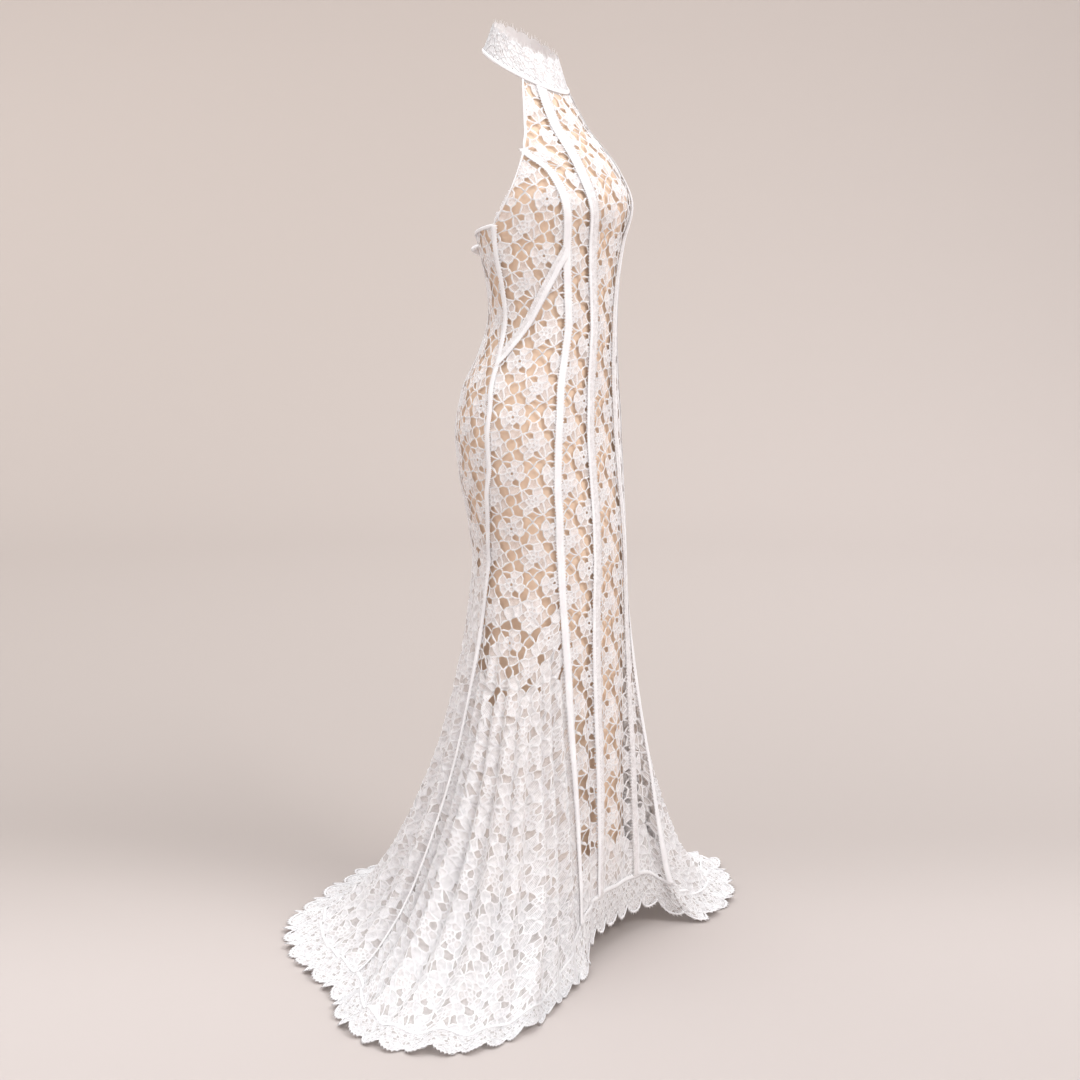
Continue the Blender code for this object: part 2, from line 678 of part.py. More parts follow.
def build_lace():
    """The lace panels between the seams, with their gaps from below the neck to the knee."""
    below_edge = [EDGE_ROW, *range(1, HEM_ROW + 1)]
    from_neck = [*range(-NECK_ROWS, 0), *below_edge]
    upper = [*below_edge[:DIAGONAL_ROWS], DIAGONAL_BAND[0]]
    lower = [DIAGONAL_BAND[1], *below_edge[DIAGONAL_ROWS + 1:]]
    below_neck = (1 - NECK_ROWS, KNEE_ROW)
    panel("front_centre", 1, CENTRE_NET, from_neck, (0.036, 0.048), below_neck)
    for side, hand in ((1, "right"), (-1, "left")):
        panel("front_" + hand, side, FRONT_NET, from_neck, (0.027, 0.048), below_neck)
        panel("side_upper_" + hand, side, SIDE_NET, upper, (0.031, 0.046),
              (0, DIAGONAL_ROWS))
        panel("side_lower_" + hand, side, SIDE_NET, lower, (0.034, 0.044),
              (DIAGONAL_ROWS, KNEE_ROW))
        panel("back_" + hand, side, BACK_NET, below_edge, (0.039, 0.042), (2, KNEE_ROW))


def build_lining():
    """The nude lining, a front and two backs, from the neck to above the ankle."""
    side_levels = (even(SIDE_TOP, KNEE, LINING_BODY_ROWS)
                   + even(KNEE, LINING_HEM, LINING_SKIRT_ROWS)[1:])
    back_levels = even(BACK_TOP, KNEE, LINING_BODY_ROWS) + side_levels[LINING_BODY_ROWS + 1:]
    front_levels = (even(BODICE_TOP, PRINCESS_TOP, NECK_ROWS)
                    + even(PRINCESS_TOP, SIDE_TOP, NECK_ROWS)[1:-1] + side_levels)
    edge = seam(FRONT_EDGE)
    lining("lining_front", 1, (seam_rows(lambda level: -edge(level), front_levels),
                               seam_rows(edge, front_levels)),
           len(front_levels) - 1, LINING_FRONT_COLUMNS)
    for side, hand in ((1, "right"), (-1, "left")):
        lining("lining_back_" + hand, side,
               (seam_rows(edge, side_levels), seam_rows(lambda level: 180.0, back_levels)),
               len(side_levels) - 1, BACK_COLUMNS.body)


def edge_pairs(side):
    """The edge binding's way: down the armhole, then over the top of the side and the back."""
    gap = SEAM_GAP / 2
    front_rows = [(-NECK_ROWS + 0.01, -NECK_ROWS + 0.01), (-1, -1), (0, EDGE_ROW)]
    pairs = [(panel_node(side, FRONT_NET, 1, inner, -gap), FRONT_NET.right(outer))
             for outer, inner in front_rows]
    for net in (SIDE_NET, BACK_NET):
        for share in even(0, 1, net.columns.body):
            inner = panel_node(side, net, share, EDGE_ROW - EDGE_ROW_GAP)
            pairs.append((inner, panel_node(side, net, share, 0)))
    return pairs


def build_bands():
    """The dense lace bands, the edge bindings, the zip tape, the collar and the back roll."""
    body = [*range(1, HEM_ROW + 1)]
    for side, hand in ((1, "right"), (-1, "left")):
        seam_band("band_inner_" + hand, side, CENTRE_NET, FRONT_NET,
                  [*range(-NECK_ROWS, 0), EDGE_ROW, *body])
        seam_band("band_outer_" + hand, side, FRONT_NET, SIDE_NET, [EDGE_ROW, *body])
        seam_band("band_side_" + hand, side, SIDE_NET, BACK_NET, [EDGE_ROW, *body])
        top, bottom = DIAGONAL_BAND
        strip("band_diagonal_" + hand, side,
              [(panel_node(side, SIDE_NET, share, bottom - DIAGONAL_ROW_GAP, SEAM_GAP / 2),
                panel_node(side, SIDE_NET, share, top + DIAGONAL_ROW_GAP, SEAM_GAP / 2))
               for share in even(0, 1, SIDE_COLUMNS.body)])
        strip("edge_binding_" + hand, side, edge_pairs(side))
    zip_rows = [EDGE_ROW + EDGE_ROW_GAP, *range(1, ZIP_ROW + 1), ZIP_ROW + ZIP_POINT]
    zip_left = [panel_node(1, BACK_NET, 1, row, -SEAM_GAP / 2) for row in zip_rows]
    strip("back_zip", 1, [(node, (360 - node[0], node[1])) for node in zip_left])
    collar()
    collar_binding()
    back_roll()


def bottom_angles(net):
    """The angles of the lower ends of a panel's columns."""
    count = column_count(net, HEM_ROW)
    return [panel_node(1, net, i / count, HEM_ROW)[0] for i in range(count + 1)]


def build_hem():
    """The three lengths of scalloped border, with a column on each column above it."""
    front, around = bottom_angles(FRONT_NET), bottom_angles(SIDE_NET) + bottom_angles(BACK_NET)
    ahead = front + around[:1]
    hem_border("hem_border_front", 1,
               [*(-angle for angle in reversed(ahead)), *bottom_angles(CENTRE_NET), *ahead])
    around[0] += BORDER_SEAM
    around[-1] -= BORDER_SEAM
    hem_border("hem_border_right", 1, around)
    hem_border("hem_border_left", -1, around)


clear_scene()
build_lace()
build_lining()
build_bands()
build_hem()
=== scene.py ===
"""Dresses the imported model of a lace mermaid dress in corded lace, seam bands, lining and hem.

Metres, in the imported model's frame: +Z up, the dress faces -Y and its train runs to +Y.
A place on the dress is an angle round the body, 0 at the centre front, 90 at the wearer's right
side and 180 at the centre back, and a level above the floor, as in the part's source.
"""

import logging
import math
from dataclasses import dataclass, field
from enum import Enum
from typing import Any, Callable, Sequence

import bmesh
import bpy
import numpy as np
from mathutils import Euler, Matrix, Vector


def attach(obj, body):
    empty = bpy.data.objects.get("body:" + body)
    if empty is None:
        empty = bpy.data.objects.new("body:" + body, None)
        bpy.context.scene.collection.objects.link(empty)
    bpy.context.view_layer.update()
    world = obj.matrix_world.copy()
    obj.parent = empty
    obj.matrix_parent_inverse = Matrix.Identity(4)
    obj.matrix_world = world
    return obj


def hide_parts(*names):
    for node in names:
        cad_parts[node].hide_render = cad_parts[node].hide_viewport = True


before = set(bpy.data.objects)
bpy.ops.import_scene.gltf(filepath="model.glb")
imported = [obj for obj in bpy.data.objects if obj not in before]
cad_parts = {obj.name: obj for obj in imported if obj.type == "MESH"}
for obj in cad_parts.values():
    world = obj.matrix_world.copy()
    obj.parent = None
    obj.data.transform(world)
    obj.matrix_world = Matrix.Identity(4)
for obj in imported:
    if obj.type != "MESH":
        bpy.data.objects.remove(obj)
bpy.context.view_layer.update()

Array = np.ndarray
Place = tuple[Array, Array]
Surface = Callable[[Array, Array], Array]
Way = Callable[[Array, Array], tuple[Array, Array, Array]]

log = logging.getLogger("dress")

NECK_HEIGHT = 1.465
BODICE_TOP = 1.445
CHEST = 1.372
PRINCESS_TOP = 1.335
DIAGONAL_TOP = 1.180
SIDE_TOP = 1.215
DIAGONAL_END = 0.995
BACK_TOP = 1.185
KNEE = 0.664
BORDER_LEVEL = 0.10
BORDER_DEPTH = 0.066
WALL = 0.0012
BAND_HALF_WIDTH = 0.0085
SIDE_BAND_HALF_WIDTH = 0.0045
LINING_DEPTH = 0.0053
LINING_SEAT = 0.0012
LINING_HEM = 0.10
NECK_ROWS = 2
DIAGONAL_ROWS = 4
BODY_ROWS = 9
KNEE_ROW = DIAGONAL_ROWS + BODY_ROWS
SKIRT_RUNS = [0.0, 0.11, 0.22, 0.33, 0.45, 0.57, 0.69, 0.80, 0.90, 1.0]
HEM_ROW = KNEE_ROW + len(SKIRT_RUNS) - 1
ZIP_ROW = 8
SIDES = ((1, "right"), (-1, "left"))
PAST_THE_HEM = 9.0
OPEN_THROUGHOUT = (8.0, 9.0)
PANEL_SCALE = 1.15
CLOSE_SCALE = 0.62
CLOTH_SHARE = 0.92
BORDER_SHARE = 0.88
LEAST_SHEET_WIDTH = 0.0102
BAND_LIFT = 0.0021
BAND_STEP = 0.0026
COLLAR_END = 179.6
COLLAR_FOOT = 0.985
LASHES = 200
TEETH = 150
SCALLOP = 0.041
SCALLOP_PICOTS = 14
METRES_A_DEGREE = 0.002


class Table:
    """Rows of numbers with named columns, read on smooth curves with no overshoot."""

    def __init__(self, names: str, rows: Sequence[Sequence[float]]) -> None:
        """Sorts the rows by their first column and works out each curve's slopes.

        Args:
            names: the columns' names, separated by spaces.
            rows: one sequence of numbers a row, in the names' order.
        """
        columns = np.array(sorted(rows), float).T
        self.start = columns[0]
        self.curves: dict[str, Place] = {}
        for name, column in zip(names.split()[1:], columns[1:]):
            steps = np.diff(column) / np.diff(self.start)
            before, after = steps[:-1], steps[1:]
            same = before * after > 0
            total = np.where(same, before + after, 1.0)
            inner = np.where(same, 2 * before * after / total, 0.0)
            self.curves[name] = (column, np.concatenate([steps[:1], inner, steps[-1:]]))

    def read(self, name: str, place: Array) -> Array:
        """One column at the given places.

        Args:
            name: the column.
            place: values of the first column.

        Returns:
            The column's values there.
        """
        column, slopes = self.curves[name]
        place = np.clip(place, self.start[0], self.start[-1])
        i = np.clip(np.searchsorted(self.start, place, side="right") - 1, 0,
                    len(self.start) - 2)
        span = self.start[i + 1] - self.start[i]
        s = (place - self.start[i]) / span
        return ((1 + 2 * s) * (1 - s) ** 2 * column[i] + s * (1 - s) ** 2 * span * slopes[i]
                + s * s * (3 - 2 * s) * column[i + 1] + s * s * (s - 1) * span * slopes[i + 1])


SECTIONS = Table("level half_width front back centre squareness", [
    (1.372, 0.100, 0.093, 0.084, -0.010, 2.0),
    (1.306, 0.130, 0.133, 0.088, -0.018, 2.3),
    (1.248, 0.142, 0.151, 0.088, -0.022, 2.5),
    (1.185, 0.138, 0.130, 0.083, -0.030, 2.4),
    (1.106, 0.129, 0.107, 0.088, -0.045, 2.2),
    (1.059, 0.127, 0.101, 0.097, -0.050, 2.1),
    (1.005, 0.138, 0.106, 0.105, -0.043, 2.1),
    (0.938, 0.160, 0.119, 0.120, -0.029, 2.1),
    (0.870, 0.171, 0.125, 0.125, -0.025, 2.1),
    (0.801, 0.168, 0.127, 0.122, -0.029, 2.1),
    (0.733, 0.158, 0.125, 0.119, -0.038, 2.1),
    (0.664, 0.150, 0.122, 0.119, -0.046, 2.1),
])
HEM = Table("angle across along lift stand", [
    (-180, 0.000, 0.415, 0.001, 0.010), (-168, 0.130, 0.432, 0.001, 0.010),
    (-154, 0.300, 0.430, 0.001, 0.010), (-138, 0.440, 0.340, 0.001, 0.010),
    (-118, 0.545, 0.170, 0.001, 0.010), (-98, 0.556, -0.010, 0.001, 0.010),
    (-84, 0.520, -0.115, 0.001, 0.010), (-70, 0.410, -0.205, 0.001, 0.010),
    (-58, 0.275, -0.262, 0.001, 0.012), (-49, 0.175, -0.268, 0.001, 0.040),
    (-42, 0.142, -0.222, 0.012, 0.170), (-30, 0.112, -0.188, 0.030, 0.240),
    (-18, 0.065, -0.178, 0.032, 0.240), (0, 0.000, -0.176, 0.032, 0.240),
    (18, -0.062, -0.178, 0.032, 0.240), (30, -0.108, -0.184, 0.026, 0.240),
    (40, -0.150, -0.200, 0.012, 0.170), (47, -0.205, -0.222, 0.001, 0.040),
    (56, -0.310, -0.240, 0.001, 0.012), (66, -0.450, -0.262, 0.001, 0.010),
    (76, -0.580, -0.225, 0.001, 0.010), (87, -0.625, -0.110, 0.001, 0.010),
    (98, -0.575, 0.000, 0.001, 0.010), (108, -0.475, 0.085, 0.001, 0.010),
    (122, -0.405, 0.180, 0.001, 0.010), (140, -0.320, 0.280, 0.001, 0.010),
    (158, -0.185, 0.370, 0.001, 0.010), (180, 0.000, 0.415, 0.001, 0.010),
])
INNER_PRINCESS = Table("level angle", [
    (1.445, 40), (1.372, 34), (1.270, 26), (1.190, 19), (1.090, 16), (0.930, 14),
    (0.800, 15), (0.664, 18), (0.450, 20), (0.000, 20),
])
OUTER_PRINCESS = Table("level angle", [
    (1.445, 66), (1.370, 66), (1.335, 70), (1.296, 53), (1.257, 47), (1.180, 42),
    (1.010, 41), (0.900, 39), (0.770, 44), (0.664, 48), (0.450, 45), (0.000, 45),
])
SIDE_SEAM = Table("level angle", [
    (1.215, 92), (1.140, 97), (1.050, 99), (0.980, 95), (0.900, 90), (0.830, 90),
    (0.767, 96), (0.664, 105), (0.450, 110), (0.000, 110),
])
FRONT_EDGE = Table("level angle", [
    (1.445, 66), (1.370, 66), (1.335, 70), (1.215, 92), (1.140, 97), (1.050, 99),
    (0.980, 95), (0.900, 90), (0.830, 90), (0.767, 96), (0.664, 105), (0.450, 106),
])
FOLDS = [
    (0, 10, 0.25), (20, 8, 0.45), (32.5, 6.2, 0.40), (45, 6.0, 0.75), (52.2, 3.6, 0.85),
    (59.4, 3.6, 0.70), (66.7, 3.6, 1.00), (73.9, 3.6, 0.65), (81.1, 3.6, 1.05),
    (88.3, 3.6, 0.70), (95.6, 3.6, 1.10), (102.8, 3.6, 0.80), (110, 4.0, 0.90),
    (120, 5.0, 1.05), (130, 5.0, 0.60), (140, 5.0, 0.95), (150, 5.0, 0.70),
    (160, 5.0, 1.00), (170, 5.0, 0.65), (180, 5.0, 0.90),
]
FOLD_GROWTH = Table("run share", [
    (0.0, 0.0), (0.15, 0.12), (0.4, 0.60), (0.65, 1.0), (0.85, 0.85), (1.0, 0.45),
    (1.1, 0.40),
])


def even(start: float, end: float, parts: int) -> list[float]:
    """Evenly spaced values from start to end, both of them included."""
    return [float(x) for x in np.linspace(start, end, parts + 1)]


def blend(a: Array, b: Array, share: Array) -> Array:
    """The value a given share of the way from a to b."""
    return a + (b - a) * share


@dataclass
class MasterForm:
    """The form that the whole dress is draped on, in the frame of the floor."""

    fold_rise: float = 0.026
    sweep: float = 0.22
    foot_radius: float = 0.0705
    top_radius: float = 0.0545
    collar_height: float = 0.047
    foot_tilt: float = 0.55
    top_tilt: float = 0.60

    def body(self, angle: Array, level: Array) -> Array:
        """Points of the body above the knee.

        Args:
            angle: degrees round the body.
            level: height above the floor.

        Returns:
            One point for each pair.
        """
        turn = np.radians(angle)
        half, front, back, centre, square = (
            SECTIONS.read(name, level) for name in SECTIONS.curves)
        power = 2.0 / square
        side, fore = np.sin(turn), np.cos(turn)
        reach = np.where(fore > 0, front, back)
        across = -half * np.sign(side) * np.abs(side) ** power
        along = centre - reach * np.sign(fore) * np.abs(fore) ** power
        return np.stack([across, along, level + 0.0 * across], -1)

    def collar(self, angle: Array, rise: Array) -> Array:
        """Points of the stand collar, a height above its lower edge."""
        turn = np.radians(angle)
        share = rise / self.collar_height
        radius = blend(self.foot_radius, self.top_radius, share)
        across, along = -radius * np.sin(turn), -radius * np.cos(turn)
        tilt = blend(self.foot_tilt, self.top_tilt, share)
        return np.stack([across, along, NECK_HEIGHT + rise + tilt * along], -1)

    def skirt(self, angle: Array, level: Array) -> Array:
        """Points of the flared skirt and its border, with no folds."""
        angle = (angle + 180.0) % 360.0 - 180.0
        knee = self.body(angle, KNEE + 0.0 * level)
        hem = np.stack([HEM.read("across", angle), HEM.read("along", angle),
                        HEM.read("lift", angle)], -1)
        out = hem - knee
        upper, lower = knee + 0.04 * out, knee + self.sweep * out
        upper[..., 2] = KNEE * 2 / 3
        lower[..., 2] = HEM.read("stand", angle)
        reach = 3 * np.linalg.norm(hem - lower, axis=-1)
        turn = 1 - BORDER_DEPTH / reach
        s = np.where(level >= 0, turn * (1 - level / KNEE),
                     turn - level / BORDER_LEVEL * (1 - turn))[..., None]
        return ((1 - s) ** 3 * knee + 3 * (1 - s) ** 2 * s * upper
                + 3 * (1 - s) * s * s * lower + s ** 3 * hem)

    def plain(self, angle: Array, level: Array) -> Array:
        """Points of the whole form with no folds."""
        high = np.clip((level - CHEST) / (BODICE_TOP - CHEST), 0, 2)[..., None]
        neck = blend(self.body(angle, CHEST + 0.0 * level),
                     self.collar(angle, 0.0 * level), high)
        body = self.body(angle, np.clip(level, KNEE, CHEST))
        skirt = self.skirt(angle, np.minimum(level, KNEE))
        above, below = (level >= CHEST)[..., None], (level < KNEE)[..., None]
        return np.where(above, neck, np.where(below, skirt, body))

    def outward(self, surface: Surface, angle: Array, level: Array) -> Array:
        """Unit normals of a surface, out of the body and up off the floor."""
        round_way = surface(angle + 0.4, level) - surface(angle - 0.4, level)
        down = surface(angle, level - 0.004) - surface(angle, level + 0.004)
        normal = np.cross(round_way, down)
        return normal / np.linalg.norm(normal, axis=-1, keepdims=True)

    def folded(self, angle: Array, level: Array) -> Array:
        """Points of the form with its folds."""
        point = self.plain(angle, level)
        run = np.where(level >= 0, 1 - level / KNEE, 1 - level)
        growth = np.where(level < KNEE, FOLD_GROWTH.read("share", run), 0.0)
        if not np.any(growth > 0):
            return point
        turn = np.abs((angle + 180.0) % 360.0 - 180.0)
        wave = 0.0 * turn
        for middle, half_width, rise in FOLDS:
            off = np.clip(np.abs(turn - middle) / half_width, 0, 1)
            wave = wave + rise * 0.5 * (1 + np.cos(np.pi * off))
        height = self.fold_rise * growth * wave
        return point + height[..., None] * self.outward(self.plain, angle, level)

    def lining(self, angle: Array, level: Array) -> Array:
        """Points of the form of the lining, narrow below the knee."""
        body = self.plain(angle, np.maximum(level, KNEE))
        knee = self.body(angle, KNEE + 0.0 * level)
        share = np.clip(0.05 * (1 - level / KNEE), 0, 1)
        near = (angle + 180.0) % 360.0 - 180.0
        across = blend(knee[..., 0], HEM.read("across", near), share)
        along = blend(knee[..., 1], HEM.read("along", near), share)
        low = np.stack([across, along, level + 0.0 * across], -1)
        return np.where((level >= KNEE)[..., None], body, low)

    def lifted(self, surface: Surface, angle: Array, level: Array, lift: Array) -> Array:
        """Points lifted off a surface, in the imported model's frame.

        Args:
            surface: the surface's own function of angle and level.
            angle: degrees round the body.
            level: level, or rise on the collar.
            lift: how far out along the normal.

        Returns:
            One point for each place.
        """
        normal = self.outward(surface, angle, level)
        lift = np.asarray(lift) + 0.0 * angle
        return surface(angle, level) + lift[..., None] * normal - (0, 0, NECK_HEIGHT)


FORM = MasterForm()


@dataclass
class SeamRows:
    """Where the cross rows of a net meet a seam."""

    line: Table
    levels: list[float]
    first_row: int = 0
    sign: float = 1.0

    def at(self, row: Array) -> Place:
        """The angle and level at a row, whole or part."""
        rows = np.arange(len(self.levels)) + self.first_row
        level = np.interp(row, rows, self.levels)
        return self.sign * self.line.read("angle", level), level


@dataclass
class Net:
    """Cross rows and columns between two seams."""

    left: SeamRows
    right: SeamRows

    def place(self, share: Array, row: Array) -> Place:
        """The angle and level a share of the way along a row."""
        (a, p), (b, q) = self.left.at(row), self.right.at(row)
        return blend(a, b, share), blend(p, q, share)


@dataclass
class LevelNet:
    """Level rows between two seams, where a row's number is its depth below the floor's zero."""

    left: Table
    right: Table

    def place(self, share: Array, row: Array) -> Place:
        """The angle and level a share of the way along a level row."""
        level = -row + 0.0 * share
        return blend(self.left.read("angle", level), self.right.read("angle", level),
                     share), level


SKIRT_LEVELS = [KNEE * (1 - run) for run in SKIRT_RUNS[1:]]
OUTER_LEVELS = (even(PRINCESS_TOP, DIAGONAL_TOP, DIAGONAL_ROWS)
                + even(DIAGONAL_TOP, KNEE, BODY_ROWS)[1:] + SKIRT_LEVELS)
FRONT_LEVELS = even(BODICE_TOP, PRINCESS_TOP, NECK_ROWS)[:-1] + OUTER_LEVELS
SIDE_LEVELS = (even(SIDE_TOP, DIAGONAL_END, DIAGONAL_ROWS)
               + even(DIAGONAL_END, KNEE, BODY_ROWS)[1:] + SKIRT_LEVELS)
BACK_LEVELS = even(BACK_TOP, KNEE, KNEE_ROW) + SKIRT_LEVELS
CENTRE_BACK = Table("level angle", [(0.0, 180.0), (2.0, 180.0)])
INNER_ROWS = SeamRows(INNER_PRINCESS, FRONT_LEVELS, -NECK_ROWS)
CENTRE_NET = Net(SeamRows(INNER_PRINCESS, FRONT_LEVELS, -NECK_ROWS, -1.0), INNER_ROWS)
FRONT_NET = Net(INNER_ROWS, SeamRows(OUTER_PRINCESS, FRONT_LEVELS, -NECK_ROWS))
SIDE_NET = Net(SeamRows(OUTER_PRINCESS, OUTER_LEVELS), SeamRows(SIDE_SEAM, SIDE_LEVELS))
BACK_NET = Net(SeamRows(SIDE_SEAM, SIDE_LEVELS), SeamRows(CENTRE_BACK, BACK_LEVELS))
UPPER_SIDE = LevelNet(OUTER_PRINCESS, FRONT_EDGE)
LOWER_SIDE = LevelNet(OUTER_PRINCESS, SIDE_SEAM)


def under_diagonal(angle: Array, level: Array) -> Array:
    """Which places of the side lie below the slanted seam."""
    (start, high), (end, low) = (seam.at(DIAGONAL_ROWS + 0.1)
                                 for seam in (SIDE_NET.left, SIDE_NET.right))
    share = np.clip((high - level) / (high - low), 0, 1)
    return (level < low) | ((level < high) & (angle < blend(start, end, share)))


def above_diagonal(angle: Array, level: Array) -> Array:
    """Which places of the side lie above the slanted seam."""
    return ~under_diagonal(angle, level)


class Value:
    """A shader value that takes part in Python arithmetic."""

    def __init__(self, graph: "Graph", socket: bpy.types.NodeSocket) -> None:
        """Wraps one output socket."""
        self.graph = graph
        self.socket = socket

    def math(self, operation: str, *others: Any) -> "Value":
        """A Math node on this value and others, which are values or numbers."""
        inputs = {i: x for i, x in enumerate((self, *others))}
        return self.graph.node("ShaderNodeMath", {"operation": operation}, inputs)

    def __add__(self, other: Any) -> "Value":
        """This value plus another."""
        return self.math("ADD", other)

    def __sub__(self, other: Any) -> "Value":
        """This value less another."""
        return self.math("SUBTRACT", other)

    def __mul__(self, other: Any) -> "Value":
        """This value times another."""
        return self.math("MULTIPLY", other)

    def wave(self, length: float) -> "Value":
        """A wave from 0 to 1 that repeats over a length of this value."""
        return (self * (2 * math.pi / length)).math("SINE") * 0.5 + 0.5

    def ramp(self, low: float, high: float, start: float = 0.0, end: float = 1.0) -> "Value":
        """This value mapped smoothly from low..high to start..end."""
        return self.graph.node("ShaderNodeMapRange", {"interpolation_type": "SMOOTHSTEP"},
                               {"Value": self, "From Min": low, "From Max": high,
                                "To Min": start, "To Max": end})


class Graph:
    """A material's nodes, with its Principled shader at hand."""

    def __init__(self, name: str) -> None:
        """Starts a material of that name."""
        self.material = bpy.data.materials.new(name)
        self.material.use_nodes = True
        self.tree = self.material.node_tree
        self.shader = self.tree.nodes["Principled BSDF"]

    def node(self, kind: str, settings: dict[str, Any], inputs: dict[Any, Any],
             output: Any = 0) -> Value:
        """Adds a node.

        Args:
            kind: the node's type.
            settings: its properties, set first.
            inputs: values or links of its sockets, by name or number.
            output: the output to hand back.

        Returns:
            That output as a value.
        """
        node = self.tree.nodes.new(kind)
        for key, value in settings.items():
            setattr(node, key, value)
        for key, value in inputs.items():
            self.feed(node.inputs[key], value)
        return Value(self, node.outputs[output])

    def feed(self, socket: bpy.types.NodeSocket, value: Any) -> None:
        """Links a value to a socket, or sets a constant on it."""
        if isinstance(value, Value):
            self.tree.links.new(value.socket, socket)
        else:
            socket.default_value = value

    def set(self, **inputs: Any) -> None:
        """Feeds the shader's sockets, named with underscores for spaces."""
        for key, value in inputs.items():
            self.feed(self.shader.inputs[key.replace("_", " ")], value)

    def cloth_place(self) -> tuple[Value, Value]:
        """The place across and down on the flat cloth, in metres."""
        uv = self.node("ShaderNodeUVMap", {"uv_map": "cloth"}, {})
        split = self.node("ShaderNodeSeparateXYZ", {}, {0: uv})
        return split, Value(self, split.socket.node.outputs[1])

    def object_noise(self, scale: float, detail: float = 2.0) -> Value:
        """Noise on Object coordinates."""
        place = self.node("ShaderNodeTexCoord", {}, {}, "Object")
        return self.node("ShaderNodeTexNoise", {}, {"Vector": place, "Scale": scale,
                                                    "Detail": detail})

    def tint(self, factor: Value, first: Sequence[float], second: Sequence[float]) -> Value:
        """A colour between two, by a factor."""
        node = self.tree.nodes.new("ShaderNodeMix")
        node.data_type = "RGBA"
        self.feed(node.inputs[0], factor)
        node.inputs[6].default_value = (*first, 1)
        node.inputs[7].default_value = (*second, 1)
        return Value(self, node.outputs[2])

    def bump(self, height: Value, distance: float, strength: float = 1.0) -> Value:
        """A bump for the shader's normal."""
        return self.node("ShaderNodeBump", {}, {"Height": height, "Distance": distance,
                                                "Strength": strength})


@dataclass(frozen=True)
class ThreadFinish:
    """Corded or closely worked white thread."""

    name: str
    light: tuple[float, float, float] = (0.96, 0.955, 0.965)
    shade: tuple[float, float, float] = (0.86, 0.845, 0.86)
    pitch: float = 0.0012
    depth: float = 0.0003
    rib: float = 0.0

    def build(self) -> bpy.types.Material:
        """Makes the material.

        Returns:
            Thread with a fine twist, and ribs along its length where it has them.
        """
        graph = Graph(self.name)
        across, down = graph.cloth_place()
        twist = (across + down).wave(self.pitch)
        if self.rib:
            twist = twist * 0.5 + across.wave(self.rib) * 0.5
        grain = graph.object_noise(900.0)
        tone = graph.object_noise(35.0, 3.0)
        graph.set(Base_Color=graph.tint(tone.ramp(0.35, 0.7), self.shade, self.light),
                  Roughness=grain.ramp(0.2, 0.8, 0.55, 0.75),
                  Normal=graph.bump(twist * 0.7 + grain * 0.3, self.depth, 0.8))
        graph.shader.inputs["Sheen Weight"].default_value = 0.25
        return graph.material


@dataclass(frozen=True)
class NetFinish:
    """Sheer net, seen through between its threads."""

    name: str
    light: tuple[float, float, float] = (0.93, 0.88, 0.87)
    shade: tuple[float, float, float] = (0.84, 0.78, 0.77)
    pitch: float = 0.0016
    least: float = 0.35
    most: float = 0.80

    def build(self) -> bpy.types.Material:
        """Makes the material.

        Returns:
            A net whose alpha follows its threads.
        """
        graph = Graph(self.name)
        across, down = graph.cloth_place()
        first = (across + down * 0.6).wave(self.pitch)
        second = (across - down * 0.6).wave(self.pitch)
        threads = first.math("MAXIMUM", second).ramp(0.55, 0.95)
        cloud = graph.object_noise(140.0, 3.0)
        cover = threads * 0.6 + cloud.ramp(0.3, 0.7) * 0.4
        graph.set(Base_Color=graph.tint(cloud.ramp(0.3, 0.7), self.shade, self.light),
                  Roughness=cloud.ramp(0.2, 0.8, 0.65, 0.85),
                  Alpha=cover.ramp(0.0, 1.0, self.least, self.most),
                  Normal=graph.bump(threads, 0.0002, 0.6))
        return graph.material


@dataclass(frozen=True)
class LiningFinish:
    """Nude stretch cloth with fine creases across the body."""

    name: str = "nude_lining"
    light: tuple[float, float, float] = (0.88, 0.68, 0.52)
    shade: tuple[float, float, float] = (0.84, 0.63, 0.47)

    def build(self) -> bpy.types.Material:
        """Makes the material.

        Returns:
            Matte cloth with slanted fine creases, a very fine knit and painted shade in the
            hollows of its crumples.
        """
        graph = Graph(self.name)
        across, down = graph.cloth_place()
        slow = graph.object_noise(14.0, 2.0)
        crumple = graph.object_noise(55.0, 4.0)
        crease = (down + across * 0.35 + slow * 0.16 + crumple * 0.03).wave(0.019)
        knit = across.wave(0.0009)
        height = crease * crumple * 0.4 + crumple * 0.5 + knit * 0.05
        # Painted shade: the colour follows the crumple noise that also raises the bump, so the
        # cloth is darker in the crumples' hollows.
        graph.set(Base_Color=graph.tint(crumple.ramp(0.3, 0.7), self.shade, self.light),
                  Roughness=slow.ramp(0.2, 0.8, 0.6, 0.75),
                  Normal=graph.bump(height, 0.0010, 0.5))
        graph.shader.inputs["Sheen Weight"].default_value = 0.15
        return graph.material


@dataclass(frozen=True)
class PullerFinish:
    """White painted metal of the zip's puller, rubbed a little in small places."""

    name: str = "painted_puller"

    def build(self) -> bpy.types.Material:
        """Makes the material.

        Returns:
            Paint with small worn places.
        """
        graph = Graph(self.name)
        wear = graph.object_noise(600.0, 4.0)
        graph.set(Base_Color=graph.tint(wear.ramp(0.6, 0.75), (0.85, 0.84, 0.84),
                                        (0.55, 0.54, 0.53)),
                  Roughness=wear.ramp(0.3, 0.8, 0.28, 0.45),
                  Normal=graph.bump(wear, 0.0001, 0.3))
        return graph.material


class Kind(Enum):
    """What a cell of the lace is, by the number of its material."""

    CORD = 0
    SHEER = 1
    PETAL = 2
    GROUND = 3
    OPEN = 4


